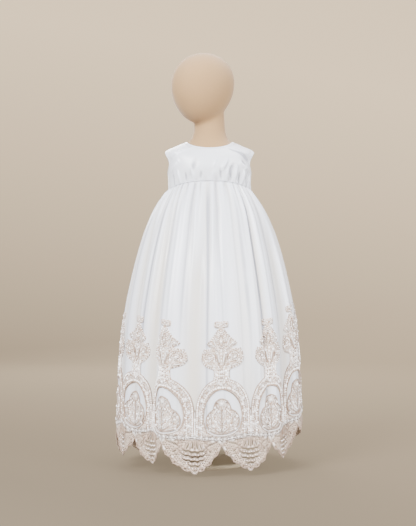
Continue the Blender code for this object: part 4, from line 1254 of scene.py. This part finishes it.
def layDrawing(name, drawings, material, node=None):
    # drawings is a list of (drawing, column line, placing function)
    points, faces, flat, rise, shift = [], [], [], [], 0
    for drawing, centre, place in drawings:
        unit = np.array(drawing["points"])
        rise.append(unit[:, 3])
        points.append(place(centre, unit))
        faces += [tuple(v + shift for v in face) for face in drawing["faces"]]
        flat.append((unit[:, :2] + (centre * skirt["lineWidth"], 0)) * mm)
        shift += len(unit)
    piece = meshObject(name, np.concatenate(points), faces, material, np.concatenate(flat))
    setAttribute(piece.data, "rise", np.concatenate(rise))
    loosePointsRemoved(piece)
    attach(piece, node)
    print(name, triangleCount(piece))
    return piece


def repeated(drawing, lines, place):
    return [(drawing, line, place) for line in lines]


repeatLines = 2 * skirt["linesPerHalf"]
tipLines = [repeatLines * k for k in range(len(lacePlaces) // 2)]
motifLines = [line + skirt["linesPerHalf"] for line in tipLines]
motifCords, motifPads = drawMotif()
borderCords, vasePads, vaseCords = drawBorder()
motifNet = cutSheet(motifOutline(), [motifOpening()], 4.6, lace["groundLift"], lace["groundWall"])
bushNet = cutSheet(bushOutline(), [], 5.2, 0.6, 0.4)
borderNet = borderSheet()
for number, middleLine in enumerate(motifLines, 1):
    nets = [(motifNet, middleLine, onSkirt), (bushNet, middleLine, onSkirt)]
    ground = layDrawing(f"laceMotif{number:02d}", nets, tulle, f"lace_motif_{number:02d}")

for name, motif, vase, thread in (
    ("laceCording", motifCords, vaseCords, cordThread), ("lacePadding", motifPads, vasePads, floss),
):
    layDrawing(name, repeated(motif, motifLines, onSkirt) + repeated(vase, tipLines, onSkirt), thread)
layDrawing("borderCording", repeated(borderCords, tipLines, onBorder), cordThread)


def cutAtSeams(piece, front):
    # keep the half of the ring that belongs to this panel
    work = bmesh.new()
    work.from_mesh(piece.data)
    geometry = work.verts[:] + work.edges[:] + work.faces[:]
    plane = {"plane_co": (0, -halfSeam if front else halfSeam, 0), "plane_no": (0, 1 if front else -1, 0)}
    cut = bmesh.ops.bisect_plane(work, geom=geometry, dist=1e-6, clear_outer=True, **plane)
    rim = [e for e in cut["geom_cut"] if isinstance(e, bmesh.types.BMEdge)]
    bmesh.ops.holes_fill(work, edges=rim)
    work.to_mesh(piece.data)
    work.free()


borders = (("laceBorderFront", True, "lace_border_front"), ("laceBorderBack", False, "lace_border_back"))
for name, front, node in borders:
    first = (-3 if front else 3) * repeatLines
    lines = range(first, first + 7 * repeatLines, repeatLines)
    piece = layDrawing(name, repeated(borderNet, lines, onBorder), ribbonLace, node)
    cutAtSeams(piece, front)
print("lace laid")

# beads, sequins and stitches are put on points by geometry nodes

beading = {
    "bead": 1.35,  # times the size that is drawn
    "sequin": 1.75,
    "unevenness": 0.3,
    "pearlFrom": 1.35,  # drawn sizes from here on are pearls, and smaller ones seed beads
    "seed": 7,
}
sewing = {
    "stitch": 2.4,
    "pitch": 1.55,  # from stitch to stitch, in stitches
    "lift": 0.1,
    "margin": 2.0,  # bare at both ends of a seam
    "unevenness": 0.08,
}


def scatterTree(name, kind, material):
    tree = bpy.data.node_groups.new(name, "GeometryNodeTree")
    tree.is_modifier = True
    tree.interface.new_socket("Geometry", in_out="OUTPUT", socket_type="NodeSocketGeometry")
    tree.interface.new_socket("Geometry", in_out="INPUT", socket_type="NodeSocketGeometry")
    for key in ("Size", "Unevenness"):
        tree.interface.new_socket(key, in_out="INPUT", socket_type="NodeSocketFloat")
    given = addNode(tree, "NodeGroupInput").outputs
    size, outward, heading = (
        addNode(tree, "GeometryNodeInputNamedAttribute", {"data_type": data}, {0: key}).outputs[0]
        for key, data in (("size", "FLOAT"), ("outward", "FLOAT_VECTOR"), ("heading", "FLOAT_VECTOR"))
    )
    low = addNode(tree, "ShaderNodeMath", {"operation": "SUBTRACT"}, {0: 1.0, 1: given["Unevenness"]})
    high = addNode(tree, "ShaderNodeMath", {"operation": "ADD"}, {0: 1.0, 1: given["Unevenness"]})
    draw = {2: low.outputs[0], 3: high.outputs[0], "Seed": beading["seed"]}
    uneven = addNode(tree, "FunctionNodeRandomValue", {"data_type": "FLOAT"}, draw)
    sized = addNode(tree, "ShaderNodeMath", {"operation": "MULTIPLY"}, {0: size, 1: given["Size"]})
    links = {0: sized.outputs[0], 1: uneven.outputs[1]}
    scaled = addNode(tree, "ShaderNodeMath", {"operation": "MULTIPLY"}, links).outputs[0]
    align = "FunctionNodeAlignRotationToVector"
    stand = addNode(tree, align, {"axis": "Z"}, {"Vector": outward}).outputs[0]
    along = {"Rotation": stand, "Vector": heading}
    turn = addNode(tree, align, {"axis": "X", "pivot_axis": "Z"}, along).outputs[0]
    if kind == "sequin":
        disc = {"Vertices": 7, "Radius Top": 0.35, "Radius Bottom": 1.0, "Depth": 0.4}
        shape = addNode(tree, "GeometryNodeMeshCone", None, disc)
    else:
        ball = {"Radius": 1.0, "Subdivisions": 2 if kind == "pearl" else 1}
        shape = addNode(tree, "GeometryNodeMeshIcoSphere", None, ball)
    stretch = (1.0, 0.28, 0.22) if kind == "stitch" else (1.0, 1.0, 0.8)
    shaped = addNode(tree, "GeometryNodeTransform", None, {"Geometry": shape.outputs[0], "Scale": stretch})
    smooth = addNode(tree, "GeometryNodeSetShadeSmooth", None, {0: shaped.outputs[0]})
    spots = addNode(tree, "GeometryNodeMeshToPoints", None, {0: given["Geometry"]})
    ways = {"Points": spots.outputs[0], "Instance": smooth.outputs[0], "Rotation": turn, "Scale": scaled}
    put = addNode(tree, "GeometryNodeInstanceOnPoints", None, ways)
    real = addNode(tree, "GeometryNodeRealizeInstances", None, {0: put.outputs[0]})
    finish = addNode(tree, "GeometryNodeSetMaterial", None, {0: real.outputs[0], 2: material})
    addNode(tree, "NodeGroupOutput", None, {0: finish.outputs[0]})
    return tree


def scatter(name, spots, kind, material, size, unevenness):
    # spots are rows of place, outward direction, heading and size
    spots = np.asarray(spots, dtype=np.float32)
    mesh = bpy.data.meshes.new(name)
    mesh.from_pydata(spots[:, :3].tolist(), [], [])
    for key, values in (("outward", spots[:, 3:6]), ("heading", spots[:, 6:9]), ("size", spots[:, 9])):
        setAttribute(mesh, key, values)
    piece = addToScene(name, mesh)
    tree = scatterTree(name + " placing", kind, material)
    modifier = piece.modifiers.new("placing", "NODES")
    modifier.node_group = tree
    given = {"Size": size, "Unevenness": unevenness}
    for item in tree.interface.items_tree:
        if item.item_type == "SOCKET" and item.in_out == "INPUT" and item.name in given:
            modifier[item.identifier] = given[item.name]
    bakeModifiers(piece)
    attach(piece)
    print(name, triangleCount(piece))


beaded = repeated(motifPads, motifLines, onSkirt) + repeated(vasePads, tipLines, onSkirt)
beaded += repeated(borderCords, tipLines, onBorder)


def spotsOf(key, least=0.0, most=9.0):
    # rows for scatter, from what is drawn with a size from least up to most
    rows = []
    for drawing, line, place in beaded:
        drawn = np.array([spot for spot in drawing[key] if least <= spot[3] < most], float)
        if not len(drawn):
            continue
        here = place(line, drawn[:, :3])
        outward = place(line, drawn[:, :3] + (0, 0, 3)) - here
        heading = place(line, drawn[:, :3] + (2, 0, 0)) - here
        rows.append(np.hstack([here, outward, heading, drawn[:, 3:] * mm]))
    return np.concatenate(rows)


limit, uneven = beading["pearlFrom"], beading["unevenness"]
scatter("seedBeads", spotsOf("beads", most=limit), "seed", foil, beading["bead"], uneven)
scatter("pearls", spotsOf("beads", least=limit), "pearl", pearl, beading["bead"], uneven)
scatter("sequins", spotsOf("sequins"), "sequin", foil, beading["sequin"], uneven)
print("beads sewn on")


def seamStitches(grid, column=None, row=None, span=(0, 1)):
    # running stitches along one column or row of a panel's outer grid
    run, beside = (grid[column], grid[column - 1]) if row is None else (grid[:, row], grid[:, row + 1])
    steps = np.concatenate([[0], np.cumsum(np.linalg.norm(np.diff(run, axis=0), axis=1))])
    stitch, margin = sewing["stitch"] * mm, sewing["margin"] * mm
    places = np.arange(span[0] * steps[-1] + margin, span[1] * steps[-1] - margin, stitch * sewing["pitch"])
    here, heading, side = (
        np.stack([np.interp(places, steps, values[:, k]) for k in range(3)], 1)
        for values in (run, np.gradient(run, axis=0), beside)
    )
    outward = np.cross(heading, side - here)
    middle = grid.reshape(-1, 3).mean(0) * (0.0, 1.0, 0.0)
    outward *= np.sign(np.sum(outward * (here - middle) * (1, 1, 0), axis=1))[:, None]
    outward /= np.linalg.norm(outward, axis=1)[:, None]
    half = np.full((len(here), 1), stitch / 2)
    return np.hstack([here + outward * sewing["lift"] * mm, outward, heading, half])


stitches = []
for grid in (frontGrid, leftGrid, rightGrid):
    stitches += [seamStitches(grid, row=row) for row in (6, grid.shape[1] - 4)]
for grid, columns in ((frontGrid, (8, -9)), (leftGrid, (13,)), (rightGrid, (-14,))):
    stitches += [seamStitches(grid, column=column, span=(0.3, 0.75)) for column in columns]
stitches += [seamStitches(leftGrid, column=-12), seamStitches(rightGrid, column=11)]
scatter("stitching", np.concatenate(stitches), "stitch", sewingThread, 1.0, sewing["unevenness"])
print("seams stitched")
